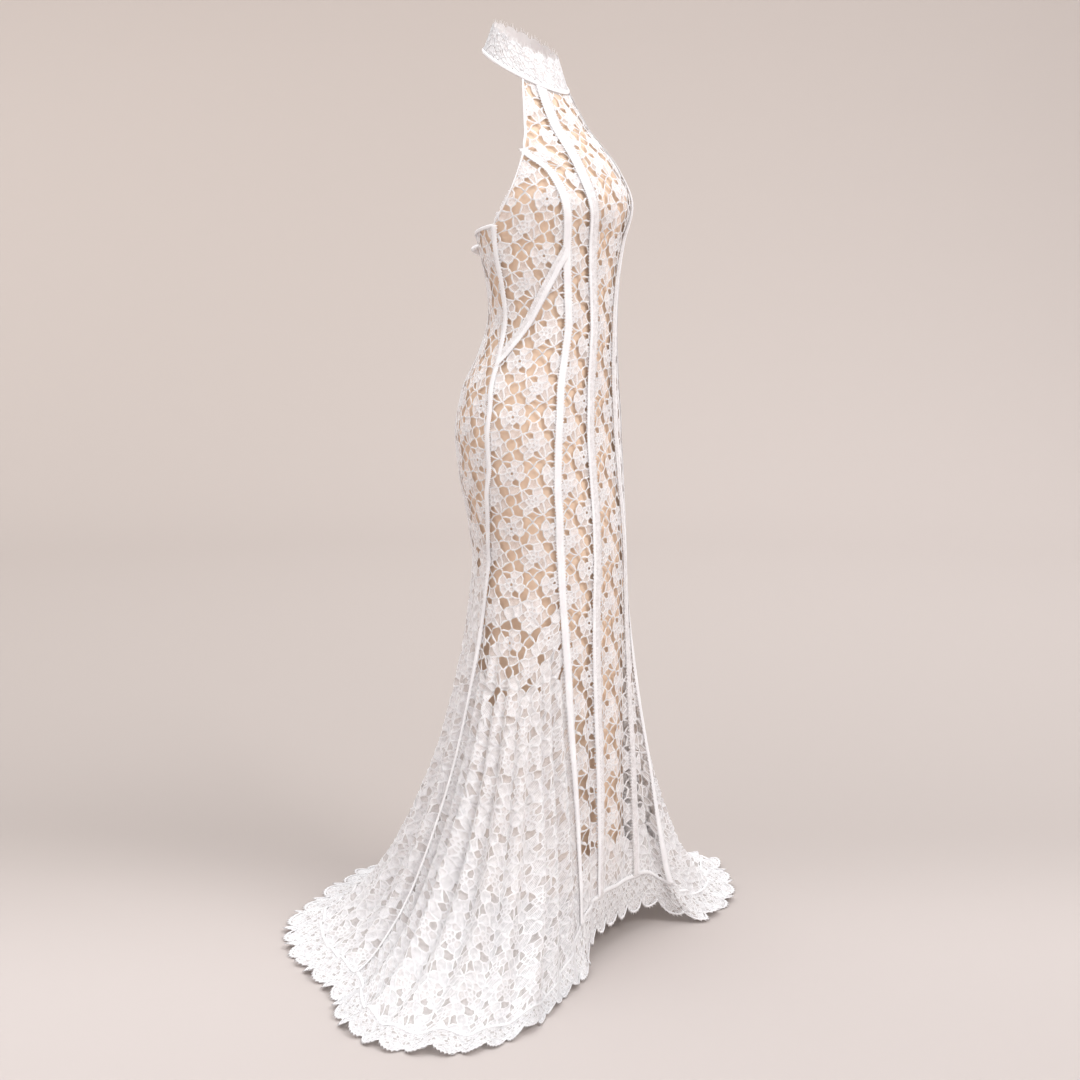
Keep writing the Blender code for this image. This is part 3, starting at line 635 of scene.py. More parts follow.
@dataclass
class Finishes:
    """The dress's materials, each made once."""

    made: dict[str, bpy.types.Material] = field(default_factory=dict)

    def get(self, finish: Any) -> bpy.types.Material:
        """The material of a finish."""
        if finish.name not in self.made:
            self.made[finish.name] = finish.build()
        return self.made[finish.name]

    def lace(self) -> list[bpy.types.Material]:
        """The lace's materials in the order of its kinds of cell."""
        return [self.get(CORD), self.get(SHEER), self.get(PETAL), self.get(GROUND)]


CORD = ThreadFinish("lace_cord")
PETAL = NetFinish("worked_petal", light=(0.97, 0.95, 0.955), shade=(0.94, 0.90, 0.90),
                  pitch=0.0019, least=0.50, most=0.90)
BAND = ThreadFinish("seam_band_lace", light=(0.97, 0.965, 0.975), shade=(0.90, 0.89, 0.905),
                    pitch=0.0014, depth=0.00025, rib=0.0031)
SHEER = NetFinish("sheer_petal", light=(0.95, 0.905, 0.895), shade=(0.91, 0.855, 0.84),
                  least=0.36, most=0.68)
DENSE = NetFinish("dense_strip_lace", light=(0.95, 0.93, 0.94), shade=(0.89, 0.86, 0.86),
                  pitch=0.0026, least=0.70, most=1.0)
GROUND = NetFinish("skirt_ground_net", light=(0.97, 0.96, 0.97), shade=(0.92, 0.91, 0.925),
                   pitch=0.0021, least=0.55, most=0.95)
BACKING = ThreadFinish("collar_backing", light=(0.97, 0.96, 0.97), shade=(0.92, 0.90, 0.91),
                       pitch=0.0011, depth=0.0002)
NUDE = LiningFinish()
PULLER = PullerFinish()


def add_piece(name: str, mesh: bpy.types.Mesh, nodes: Sequence[str]
              ) -> bpy.types.Object:
    """Adds a mesh to the scene as a piece of the dress.

    Args:
        name: the piece's name.
        mesh: its mesh, in place.
        nodes: the nodes that it stands for.

    Returns:
        The new object.
    """
    mesh.name = name
    mesh.shade_smooth()
    piece = bpy.data.objects.new(name, mesh)
    bpy.context.scene.collection.objects.link(piece)
    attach(piece, "root")
    if nodes:
        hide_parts(*nodes)
    log.info("%s: %d faces", name, len(mesh.polygons))
    return piece


def mesh_of(bm: bmesh.types.BMesh, name: str) -> bpy.types.Mesh:
    """A mesh made from a bmesh, which is freed."""
    mesh = bpy.data.meshes.new(name)
    bm.to_mesh(mesh)
    bm.free()
    return mesh


def read_points(mesh: bpy.types.Mesh) -> Array:
    """The mesh's vertex places as an array."""
    points = np.zeros(len(mesh.vertices) * 3, np.float32)
    mesh.vertices.foreach_get("co", points)
    return points.reshape(-1, 3).astype(float)


def write_points(mesh: bpy.types.Mesh, points: Array) -> None:
    """Gives the mesh new vertex places."""
    mesh.vertices.foreach_set("co", points.astype(np.float32).ravel())
    mesh.update()


def keep_flat_places(mesh: bpy.types.Mesh, points: Array) -> None:
    """Stores each corner's place on the flat cloth as the UV map that the finishes read."""
    corners = np.zeros(len(mesh.loops), np.int32)
    mesh.loops.foreach_get("vertex_index", corners)
    layer = mesh.uv_layers.new(name="cloth")
    layer.data.foreach_set("uv", points[corners][:, :2].astype(np.float32).ravel())


def path_length(points: Array) -> float:
    """The length of a line of points."""
    return float(np.linalg.norm(np.diff(points, axis=0), axis=-1).sum())


def shape_piece(name: str, mesh: bpy.types.Mesh, flat: Array, points: Array,
                material: bpy.types.Material, nodes: Sequence[str] = ()) -> bpy.types.Object:
    """Gives a mesh its flat places, its shape and its material, and adds it as a piece.

    Args:
        name: the piece's name.
        mesh: its mesh.
        flat: its vertices' places on the flat cloth.
        points: their places on the dress.
        material: what it is made of.
        nodes: the nodes that it stands for.

    Returns:
        The new object.
    """
    keep_flat_places(mesh, flat)
    write_points(mesh, points)
    mesh.materials.append(material)
    return add_piece(name, mesh, nodes)


def surface_area(mesh: bpy.types.Mesh) -> float:
    """The area of all the mesh's faces."""
    areas = np.zeros(len(mesh.polygons), np.float32)
    mesh.polygons.foreach_get("area", areas)
    return float(areas.sum())


@dataclass
class LaceTile:
    """One repeat of the corded lace: two roses among open and sheer cells, in a half drop."""

    width: float = 0.064
    height: float = 0.080
    cord: float = 0.0011
    ridge: float = 0.0008
    inner_ring: float = 0.0052
    outer_ring: float = 0.0110
    open_across: float = 0.0128
    open_down: float = 0.0190
    petal_rise: float = 0.0005
    cell_size: float = 0.03
    cell_reach: float = 0.045
    unevenness: float = 0.11
    rose_reach: float = 0.020
    round_out: float = 0.20
    round_in: float = -0.13
    roses: tuple[tuple[float, float], ...] = ((0.016, 0.020), (0.048, 0.060))
    mesh: bpy.types.Mesh | None = None

    def sites(self) -> list[tuple[Vector, Kind]]:
        """The cells' centres and kinds, unevenly spaced as hand-drawn work is."""
        found: list[tuple[Vector, Kind]] = []
        kinds = {0: (Kind.SHEER, Kind.OPEN, Kind.OPEN, Kind.OPEN, Kind.SHEER, Kind.OPEN),
                 1: (Kind.OPEN, Kind.SHEER, Kind.OPEN, Kind.OPEN, Kind.OPEN, Kind.OPEN)}
        rings = {0: "sposppos", 1: "psopspop"}
        by_letter = {"s": Kind.SHEER, "p": Kind.PETAL, "o": Kind.OPEN}
        for number, (x, y) in enumerate(self.roses):
            found.append((Vector((x, y, 0)), Kind.OPEN if number else Kind.PETAL))
            for i in range(5):
                turn = math.tau * (i + 0.3 * number) / 5
                found.append((Vector((x + self.inner_ring * math.cos(turn),
                                      y + self.inner_ring * math.sin(turn), 0)), Kind.PETAL))
            for i in range(8):
                turn = math.tau * (i + 0.4 + 0.2 * number) / 8
                reach = self.outer_ring * (1 + 0.09 * math.sin(2.7 * i + number))
                found.append((Vector((x + reach * math.cos(turn),
                                      y + reach * 1.12 * math.sin(turn), 0)),
                              by_letter[rings[number][i]]))
            cx, cy = (x + self.width / 2) % self.width, y
            found.append((Vector((cx + 0.001, cy - 0.001, 0)), Kind.OPEN))
            for i in range(6):
                turn = math.tau * (i + 0.25 + 0.3 * number) / 6
                reach = 1 + 0.14 * math.sin(3.1 * i + 1.7 * number)
                found.append((Vector((cx + self.open_across * reach * math.cos(turn),
                                      cy + self.open_down * reach * math.sin(turn), 0)),
                              kinds[number][i]))
        return found

    def build(self) -> bpy.types.Mesh:
        """Makes the tile flat, its cords as low ridges.

        Returns:
            The tile's mesh, whose copies meet when moved by its width or height.
        """
        if self.mesh:
            return self.mesh
        bm = bmesh.new()
        sites = self.sites()
        around = [place + Vector((i * self.width, j * self.height, 0))
                  for i in (-1, 0, 1) for j in (-1, 0, 1) for place, _ in sites]
        for place, kind in sites:
            made = bmesh.ops.create_grid(bm, x_segments=1, y_segments=1, size=self.cell_size)
            bmesh.ops.translate(bm, vec=place, verts=made["verts"])
            faces = {f for v in made["verts"] for f in v.link_faces}
            for other in around:
                gap = other - place
                if not 1e-6 < gap.length < self.cell_reach:
                    continue
                face = faces.pop()
                geom = [face, *face.edges, *face.verts]
                kept = bmesh.ops.bisect_plane(bm, geom=geom, dist=1e-7,
                                              plane_co=(place + other) / 2,
                                              plane_no=gap.normalized(), clear_outer=True)
                faces = {g for g in kept["geom"] if isinstance(g, bmesh.types.BMFace)}
            faces.pop().material_index = kind.value
        bmesh.ops.remove_doubles(bm, verts=bm.verts[:], dist=2e-5)
        made = bmesh.ops.subdivide_edges(bm, edges=bm.edges[:], cuts=1)
        middles = [g for g in made["geom_inner"] if isinstance(g, bmesh.types.BMVert)]
        for vert in middles:
            vert.co += self.bulge(vert)
        for vert in bm.verts:
            vert.co.z = self.ridge
        cells = bm.faces[:]
        bmesh.ops.inset_individual(bm, faces=cells, thickness=self.cord, depth=-self.ridge,
                                   use_even_offset=True)
        petals = []
        for number, cell in enumerate(cells):
            kind = cell.material_index
            for edge in cell.edges:
                for ring in edge.link_faces:
                    if ring is not cell:
                        ring.material_index = Kind.CORD.value
            for step, vert in enumerate(cell.verts):
                out = vert.co - cell.calc_center_median()
                vert.co += out * self.unevenness * math.sin(2.1 * step + number)
            if kind == Kind.PETAL.value:
                petals.append(cell)
        made = bmesh.ops.poke(bm, faces=petals)
        for vert in made["verts"]:
            vert.co.z += self.petal_rise
        self.mesh = mesh_of(bm, "lace_tile")
        return self.mesh

    def bulge(self, vert: bmesh.types.BMVert) -> Vector:
        """How far the middle of a cell's side is moved out, to round the petals.

        Args:
            vert: the middle.

        Returns:
            The move.
        """
        others = [edge.other_vert(vert).co for edge in vert.link_edges]
        if len(others) < 2:
            return Vector((0, 0, 0))
        side = others[0] - others[1]
        near = min((Vector((vert.co.x - x - i * self.width, vert.co.y - y - j * self.height, 0))
                    for x, y in self.roses for i in (-1, 0, 1) for j in (-1, 0, 1)),
                   key=lambda v: v.length)
        if side.length < 1e-6 or near.length < 1e-6:
            return Vector((0, 0, 0))
        tangential = abs(side.normalized().cross(near.normalized()).z)
        reach = self.round_out if near.length < self.rose_reach else self.round_in
        return near.normalized() * reach * side.length * max(0.0, tangential - 0.3)


TILE = LaceTile()


@dataclass
class Pattern:
    """How a flat cut lies on the dress: each place of the cut has an angle, a level and a lift."""

    surface: Surface
    side: float
    widths: Array
    lengths: Array
    place: Callable[[Array, Array], Place]
    rows: Array
    keep: Callable[[Array, Array], Array] | None = None

    @property
    def width(self) -> float:
        """The cut's greatest width."""
        return float(self.widths.max())

    @property
    def length(self) -> float:
        """The cut's length."""
        return float(self.lengths[-1])

    @property
    def area(self) -> float:
        """The cut's flat area."""
        steps = np.diff(self.lengths)
        return float((steps * (self.widths[1:] + self.widths[:-1]) / 2).sum())

    def drape(self, points: Array) -> Array:
        """Moves places of the flat cut to the dress.

        Args:
            points: across from the middle, down from the top, and lift.

        Returns:
            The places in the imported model's frame.
        """
        angle, level = self.spot(points)
        return FORM.lifted(self.surface, self.side * angle, level, points[:, 2])

    def spot(self, points: Array) -> Place:
        """The angle and level of places of the flat cut."""
        down = np.clip(points[:, 1], 0, self.length)
        width = np.maximum(np.interp(down, self.lengths, self.widths), 1e-4)
        share = np.clip(0.5 + points[:, 0] / width, 0, 1)
        return self.place(share, np.interp(down, self.lengths, self.rows))

    def outside(self, centres: Array) -> Array:
        """Which places lie past the cut's edges."""
        width = np.interp(centres[:, 1], self.lengths, self.widths)
        past = ((np.abs(centres[:, 0]) > width / 2) | (centres[:, 1] < 0)
                | (centres[:, 1] > self.length))
        return past | ~self.keep(*self.spot(centres)) if self.keep else past


def flatten(surface: Surface, side: float, place: Callable[[Array, Array], Place],
            first: float, last: float) -> Pattern:
    """Measures a piece on the dress, to cut it flat.

    Args:
        surface: the form it lies on.
        side: 1 on the wearer's right, -1 on the left.
        place: the angle and level of a share of a row.
        first: its top row.
        last: its bottom row.

    Returns:
        The flat pattern.
    """
    rows = np.linspace(first, last, 161)
    shares = np.linspace(0, 1, 41)
    grid_rows, grid_shares = np.meshgrid(rows, shares, indexing="ij")
    angle, level = place(grid_shares, grid_rows)
    points = surface(side * angle, level)
    widths = np.linalg.norm(np.diff(points, axis=1), axis=-1).sum(1)
    steps = np.linalg.norm(np.diff(points, axis=0), axis=-1).mean(1)
    lengths = np.concatenate([[0.0], np.cumsum(steps)])
    return Pattern(surface, side, widths, lengths, place, rows)


def spread_evenly(places: Array) -> Array:
    """A number from 0 to 1 for each place, the same each run and unlike its neighbours'."""
    return np.modf(np.abs(np.sin(places[:, 0] * 911.7 + places[:, 1] * 357.3)) * 4358.5)[0]


@dataclass
class LaceCloth:
    """A piece of corded lace cut from the repeated tile."""

    name: str
    nodes: tuple[str, ...]
    pattern: Pattern
    lift: float = 0.0005
    scale: float = 1.0
    closing: tuple[float, float] = (1e8, 1e9)
    slot: str = "lace"
    outline: Callable[[Array], Array] | None = None

    def repeat(self) -> bpy.types.Mesh:
        """The tile repeated over the cut's bounding rectangle."""
        tile = TILE.build()
        step_x, step_y = TILE.width * self.scale, TILE.height * self.scale
        across = math.ceil(self.pattern.width / step_x) + 2
        down = math.ceil(self.pattern.length / step_y) + 2
        source = bpy.data.objects.new("repeat", tile)
        bpy.context.scene.collection.objects.link(source)
        for axis, (count, step) in enumerate(((across, TILE.width), (down, TILE.height))):
            modifier = source.modifiers.new("repeat", "ARRAY")
            modifier.use_relative_offset = False
            modifier.use_constant_offset = True
            modifier.constant_offset_displace = [step if axis == i else 0 for i in range(3)]
            modifier.count = count
            modifier.use_merge_vertices = True
            modifier.merge_threshold = 3e-5
        depsgraph = bpy.context.evaluated_depsgraph_get()
        mesh = bpy.data.meshes.new_from_object(source.evaluated_get(depsgraph))
        bpy.data.objects.remove(source)
        points = read_points(mesh)
        points[:, :2] *= self.scale
        points[:, 0] -= across * step_x / 2
        points[:, 1] -= step_y * 0.7
        write_points(mesh, points)
        return mesh

    def build(self, finishes: Finishes) -> bpy.types.Object:
        """Cuts the lace, opens its gaps and drapes it.

        Args:
            finishes: the dress's materials.

        Returns:
            The piece.
        """
        mesh = self.repeat()
        bm = bmesh.new()
        bm.from_mesh(mesh)
        bpy.data.meshes.remove(mesh)
        faces = bm.faces[:]
        centres = np.array([face.calc_center_median()[:] for face in faces])
        kinds = np.array([face.material_index for face in faces])
        away = self.pattern.outside(centres)
        if self.outline:
            away |= centres[:, 1] > self.outline(centres[:, 0])
        is_open = kinds == Kind.OPEN.value
        chance = (centres[:, 1] - self.closing[0]) / (self.closing[1] - self.closing[0])
        away |= is_open & (chance < spread_evenly(centres))
        for face, gone, opened in zip(faces, away, is_open):
            if opened and not gone:
                face.material_index = Kind.GROUND.value
        bmesh.ops.delete(bm, geom=[f for f, gone in zip(faces, away) if gone],
                         context="FACES")
        if self.pattern.side < 0:
            bmesh.ops.reverse_faces(bm, faces=bm.faces[:])
        mesh = mesh_of(bm, self.name)
        points = read_points(mesh)
        keep_flat_places(mesh, points)
        points[:, 2] += self.lift
        write_points(mesh, self.pattern.drape(points))
        for material in finishes.lace():
            mesh.materials.append(material)
        piece = add_piece(self.name, mesh, self.nodes)
        cover = surface_area(mesh) / self.pattern.area
        log.info("%s covers %.2f of %.3f m2", self.name, cover, self.pattern.area)
        return piece


@dataclass
class DrapedStrip:
    """A plain piece of cloth made as a grid and draped by a function of its own places."""

    name: str
    nodes: tuple[str, ...]
    across: int
    down: int
    drape: Callable[[Array, Array], Array]
    finish: Any
    slot: str
    thickness: float = 0.0
    turn_over: bool = False
    size: tuple[float, float] = (1.0, 1.0)

    def build(self, finishes: Finishes) -> bpy.types.Object:
        """Makes the grid, drapes it and gives it a wall where it has one.

        Args:
            finishes: the dress's materials.

        Returns:
            The piece.
        """
        bm = bmesh.new()
        bmesh.ops.create_grid(bm, x_segments=self.across, y_segments=self.down, size=0.5)
        if self.turn_over:
            bmesh.ops.reverse_faces(bm, faces=bm.faces[:])
        mesh = mesh_of(bm, self.name)
        flat = read_points(mesh)
        share, run = flat[:, 0] + 0.5, flat[:, 1] + 0.5
        places = np.stack([share * self.size[0], run * self.size[1], 0 * run], -1)
        piece = shape_piece(self.name, mesh, places, self.drape(share, run),
                            finishes.get(self.finish), self.nodes)
        if self.thickness:
            wall = piece.modifiers.new("wall", "SOLIDIFY")
            wall.thickness = self.thickness
            wall.offset = 0.0
        return piece


class Dress:
    """The whole dress, a method for each sub-assembly."""

    def __init__(self) -> None:
        """Starts with no finishes made and no trim gathered."""
        self.finishes = Finishes()
        self.trim: list[bpy.types.Object] = []
        self.backs: dict[str, tuple[bpy.types.Object, Pattern]] = {}

    def panels(self) -> None:
        """The corded lace panels between the seams."""
        front = (-NECK_ROWS, HEM_ROW)
        hem = (HEM_ROW - 1.6, HEM_ROW - 1.2)
        self.panel("front_centre", 1, CENTRE_NET, front, hem)
        for side, hand in SIDES:
            self.panel("front_" + hand, side, FRONT_NET, front, hem)
            self.panel("side_upper_" + hand, side, UPPER_SIDE,
                       (-PRINCESS_TOP, -DIAGONAL_END + 0.01), OPEN_THROUGHOUT, above_diagonal)
            self.panel("side_lower_" + hand, side, LOWER_SIDE, (-DIAGONAL_TOP, 0.0),
                       (-0.62, -0.43), under_diagonal)
            self.panel("back_" + hand, side, BACK_NET, (0, HEM_ROW),
                       (KNEE_ROW - 2.2, KNEE_ROW + 0.4))

    def panel(self, name: str, side: float, net: Any, rows: tuple[float, float],
              closing: tuple[float, float],
              keep: Callable[[Array, Array], Array] | None = None) -> None:
        """One panel of corded lace.

        Args:
            name: its node's name.
            side: 1 on the wearer's right, -1 on the left.
            net: the net of rows that it lies on.
            rows: its top and bottom rows.
            closing: the rows between which its open cells give way to net.
            keep: which places of the net are its own, or none where all are.
        """
        pattern = flatten(FORM.folded, side, net.place, *rows)
        pattern.keep = keep
        start, end = np.interp(closing, pattern.rows, pattern.lengths, right=PAST_THE_HEM)
        cloth = LaceCloth(name + "_lace", (name,), pattern, scale=PANEL_SCALE,
                          closing=(float(start), float(end) + 1e-3))
        piece = cloth.build(self.finishes)
        if name.startswith("back"):
            self.backs[name] = (piece, pattern)
        else:
            self.declare(piece, pattern, ())

    @staticmethod
    def declare(piece: bpy.types.Object, pattern: Pattern,
                trim: Sequence[bpy.types.Object]) -> None:
        """Works out a panel's cloth area, which is not kept.

        The area is worked out from the lace's own faces and CLOTH_SHARE. It leaves out most of
        the open cells, so it is less than the area inside the cut's outline.

        Args:
            piece: the panel's lace.
            pattern: its flat pattern; not used.
            trim: the narrow pieces sewn on it; not used.
        """
        surface_area(piece.data) / CLOTH_SHARE

    def declare_backs(self) -> None:
        """Works out the back panels' cloth areas, once the trim on them is made."""
        for name, (piece, pattern) in self.backs.items():
            hand = name.split("_")[1]
            seam = "centre_seam" if hand == "right" else hand
            self.declare(piece, pattern, [t for t in self.trim if t.name.startswith(seam) or (
                hand in t.name and not t.name.startswith("border"))])

    def lining(self) -> None:
        """The nude lining, a front and two backs."""
        def edge(top: float, line: Table, sign: float = 1.0) -> Callable[[Array], Place]:
            """An edge that follows a line down from a level to the lining's hem.

            Args:
                top: the level of its top.
                line: the line that it follows.
                sign: 1 or -1, for the line or the one across from it.

            Returns:
                The edge's angle and level at a run along it.
            """
            def at(run: Array) -> Place:
                """The angle and level at a run along the edge."""
                level = blend(top, LINING_HEM, run)
                return sign * line.read("angle", level), level
            return at

        top = BODICE_TOP - 0.001
        self.lining_piece("lining_front", 1, edge(top, FRONT_EDGE, -1), edge(top, FRONT_EDGE),
                          72, (0.56, 1.42))
        for side, hand in SIDES:
            self.lining_piece("lining_back_" + hand, side, edge(SIDE_TOP, FRONT_EDGE),
                              edge(BACK_TOP, CENTRE_BACK), 36, (0.30, 1.16))

    def lining_piece(self, name: str, side: float, left: Callable[[Array], Place],
                     right: Callable[[Array], Place], columns: int,
                     size: tuple[float, float]) -> None:
        """One piece of the lining, sewn to the lace along its top.

        Args:
            name: its node's name.
            side: 1 on the wearer's right, -1 on the left.
            left: the angle and level down its left edge.
            right: the same down its right edge.
            columns: how many faces wide it is.
            size: its flat width and length as given, above what the draped cloth measures.
        """
        def drape(share: Array, run: Array) -> Array:
            """Points of the lining, close to the lace at its top and clear of it below."""
            (a, p), (b, q) = left(run), right(run)
            angle, level = blend(a, b, share), blend(p, q, share)
            sink = blend(LINING_SEAT, LINING_DEPTH, np.clip(run / 0.03, 0, 1))
            return FORM.lifted(FORM.lining, side * angle, level, -sink)

        made = DrapedStrip(name + "_cloth", (name,), columns, 150, drape, NUDE, "lining",
                           turn_over=side < 0, size=size).build(self.finishes)
        surface_area(made.data)

    def strip(self, name: str, nodes: tuple[str, ...], side: float, steps: int, way: Way,
              columns: int = 4, finish: Any = None, surface: Surface | None = None,
              thickness: float = 0.0006) -> bpy.types.Object:
        """One narrow band, edging or tape.

        Args:
            name: the piece's name.
            nodes: the nodes that it stands for.
            side: 1 on the wearer's right, -1 on the left.
            steps: how many faces long it is.
            way: the angle, level and lift at a share across and a run along it.
            columns: how many faces wide it is.
            finish: its finish, or none for the seam bands' own.
            surface: the form it lies on, or none for the folded form.
            thickness: its wall.

        Returns:
            The piece.
        """
        ground = surface or FORM.folded

        def drape(share: Array, run: Array) -> Array:
            """Points of the strip."""
            angle, level, lift = way(share, run)
            return FORM.lifted(ground, side * angle, level, lift)

        runs = np.linspace(0, 1, 401)
        spine = drape(0 * runs + 0.5, runs)
        across = drape(runs, 0 * runs + 0.5)
        length = path_length(spine)
        made = DrapedStrip(name, nodes, columns, steps, drape, finish or BAND, "dense_lace",
                           thickness=thickness, turn_over=side > 0,
                           size=(path_length(across), length)).build(self.finishes)
        width = surface_area(made.data) / length
        log.info("%s is cut %.4f x %.3f m", name, width, length)
        if width > LEAST_SHEET_WIDTH:
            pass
        else:
            self.trim.append(made)
        return made

    def seam_band(self, name: str, nodes: tuple[str, ...], side: float, seam: SeamRows,
                  half_width: float, first: float, last: float, crown: float = 0.0005,
                  shift: float = 0.0, finish: Any = None, hem_share: float = 1.0) -> None:
        """A band of close lace down a seam, with a picot edge.

        Args:
            name: the piece's name.
            nodes: the nodes that it stands for.
            side: 1 on the wearer's right, -1 on the left.
            seam: the seam that it lies on.
            half_width: half of its width.
            first: its top row.
            last: its bottom row.
            crown: how far its middle stands above its edges.
            shift: how far it lies from the seam, towards the side.
            finish: its finish, or none for the seam bands' own.
            hem_share: its width at the hem, as a share of its width above the knee.
        """
        rows = np.linspace(first, last, 121)
        angle, level = seam.at(rows)
        spine = FORM.folded(side * angle, level)
        steps = int(path_length(spine) / BAND_STEP)
        beside = np.linalg.norm(FORM.folded(side * (angle + 1.0), level) - spine, axis=-1)

        def way(share: Array, run: Array) -> tuple[Array, Array, Array]:
            """The way of the band, its edges in small teeth."""
            row = blend(first, last, run)
            middle, height = seam.at(row)
            per_degree = np.interp(row, rows, beside)
            taper = blend(1.0, hem_share, np.clip((row - KNEE_ROW) / 3, 0, 1))
            tooth = 1 + 0.22 * np.cos(run * steps * math.pi) * (np.abs(share - 0.5) > 0.4)
            off = (share - 0.5) * 2 * half_width * tooth * taper + shift
            return (middle + off / per_degree, height,
                    BAND_LIFT + crown * (1 - (2 * share - 1) ** 2))

        self.strip(name, nodes, side, steps, way, columns=6, finish=finish)

    def bands(self) -> None:
        """The close bands on the princess and side seams, and the slanted ones."""
        outer = SeamRows(OUTER_PRINCESS, OUTER_LEVELS)
        side_seam = SeamRows(SIDE_SEAM, SIDE_LEVELS)
        for side, hand in SIDES:
            self.seam_band("inner_band_" + hand, ("band_inner_" + hand,), side, INNER_ROWS,
                           BAND_HALF_WIDTH + 0.0015, -NECK_ROWS, HEM_ROW, finish=DENSE)
            self.seam_band("inner_cord_" + hand, (), side, INNER_ROWS, 0.0032, -NECK_ROWS,
                           HEM_ROW, 0.0012, shift=0.0065)
            self.seam_band("outer_band_" + hand, ("band_outer_" + hand,), side, outer,
                           BAND_HALF_WIDTH - 0.0013, 0.05, HEM_ROW)
            self.seam_band("side_band_" + hand, ("band_side_" + hand,), side, side_seam,
                           SIDE_BAND_HALF_WIDTH, 0.05, HEM_ROW, 0.0008, hem_share=0.5)
            self.diagonal(side, hand)

    def diagonal(self, side: float, hand: str) -> None:
        """The slanted band from the outer princess seam to the side seam, in two layers.

        Args:
            side: 1 on the wearer's right, -1 on the left.
            hand: which side that is, in words.
        """
        layers = ((3.78, 4.13, 0.0019, (), DENSE),
                  (4.06, 4.38, 0.0026, ("band_diagonal_" + hand,), BAND))
        teeth = 84
        for number, (start, end, low, nodes, finish) in enumerate(layers):
            def way(share: Array, run: Array) -> tuple[Array, Array, Array]:
                """The way of one layer, along the slanted seam."""
                tooth = 0.035 * np.cos(run * teeth * math.pi) * (np.abs(share - 0.5) > 0.4)
                row = blend(start, end, share) + tooth * np.sign(share - 0.5)
                angle, level = SIDE_NET.place(run, row)
                return -angle, level, low + 0.0006 * (1 - (2 * share - 1) ** 2)

            self.strip(f"diagonal_band_{hand}_{number + 1}", nodes, -side, teeth, way,
                       columns=6, finish=finish)

    def edges(self) -> None:
        """The rolled edge of the armholes and of the top of the side and the back."""
        armhole = SeamRows(OUTER_PRINCESS, FRONT_LEVELS, -NECK_ROWS)
        steps = 250

        def way(share: Array, run: Array) -> tuple[Array, Array, Array]:
            """The way down the armhole, then along the side's top and the back's."""
            leg = run * 3.0
            a, p = armhole.at(blend(-float(NECK_ROWS), 0.0, np.clip(leg, 0, 1)))
            b, q = SIDE_NET.place(np.clip(leg - 1, 0, 1), 0.0 * run)
            c, r = BACK_NET.place(np.clip(leg - 2, 0, 1), 0.0 * run)
            angle = np.where(leg < 1, a, np.where(leg < 2, b, c))
            level = np.where(leg < 1, p, np.where(leg < 2, q, r))
            inward = np.clip(leg - 0.75, 0, 0.5) * 2
            tooth = 1 + 0.10 * np.cos(run * steps * math.pi) * (share < 0.1)
            off = (1 - share) * 0.0055 * tooth
            return (angle - (1 - inward) * off / 0.0021, level - inward * off,
                    0.0019 + 0.0007 * np.sin(np.pi * share))

        for side, hand in SIDES:
            self.strip("edging_" + hand, ("edge_binding_" + hand,), side, steps, way, columns=5)

    def collar(self) -> None:
        """The stand collar: lace over a backing, a folded lower edge and a fringed top."""
        def rise(angle: Array) -> Array:
            """The scalloped top edge's height at an angle."""
            return FORM.collar_height + 0.006 * np.abs(np.sin(np.radians(angle) * 8)) ** 0.6

        def place(share: Array, row: Array) -> Place:
            """The angle and height at a share round the neck and a row down from the top."""
            angle = blend(-COLLAR_END, COLLAR_END, share)
            return angle, rise(angle) * (1 - row)

        def backing(share: Array, run: Array) -> tuple[Array, Array, Array]:
            """The way of the cloth behind the lace."""
            angle, height = place(share, run * COLLAR_FOOT)
            return angle, height, 0.0007 + 0.0 * share

        def fold(share: Array, run: Array) -> tuple[Array, Array, Array]:
            """The way of the folded lower edge."""
            return (-blend(-COLLAR_END, COLLAR_END, run), 0.0005 + 0.0062 * share,
                    0.0026 + 0.0010 * np.sin(np.pi * share))

        pattern = flatten(FORM.collar, 1, place, 0, COLLAR_FOOT)
        lace = LaceCloth("collar_lace", ("collar",), pattern, lift=0.0010, scale=CLOSE_SCALE,
                         slot="dense_lace").build(self.finishes)
        self.strip("collar_backing", (), 1, 16, backing, columns=160, finish=BACKING,
                   surface=FORM.collar, thickness=0.0)
        binding = self.strip("collar_fold", ("collar_binding",), -1, 150, fold, columns=5,
                             surface=FORM.collar)
        pattern.area
        self.lashes(rise)

    def lashes(self, rise: Callable[[Array], Array]) -> None:
        """The fine fringe along the collar's top edge.

        Args:
            rise: the top edge's height at an angle.
        """
        bm = bmesh.new()
        for _ in range(LASHES):
            bmesh.ops.create_grid(bm, x_segments=1, y_segments=4, size=0.5)
        mesh = mesh_of(bm, "collar_lashes")
        flat = read_points(mesh)
        number = np.repeat(np.arange(LASHES), len(flat) // LASHES)
        across, run = flat[:, 0], flat[:, 1] + 0.5
        angle = -179.0 + 358.0 * number / (LASHES - 1)
        length = 0.0062 + 0.0022 * np.sin(number * 2.4)
        lean = 2.2 * np.sin(number * 1.7)
        spread = across * 0.0009 * (1 - 0.6 * run) / 0.00125
        points = FORM.lifted(FORM.collar, angle + lean * run + spread,
                             rise(angle) + length * run - 0.001,
                             0.0012 + 0.0028 * run ** 2 * np.cos(number * 1.3))
        shape_piece("collar_lashes", mesh, np.stack([angle * 0.001, run * 0.008, 0 * run], -1),
                    points, self.finishes.get(CORD))

    def back(self) -> None:
        """The zip tape, its seam and puller, and the rolled edge above it."""
        zip_line = SeamRows(CENTRE_BACK, BACK_LEVELS)

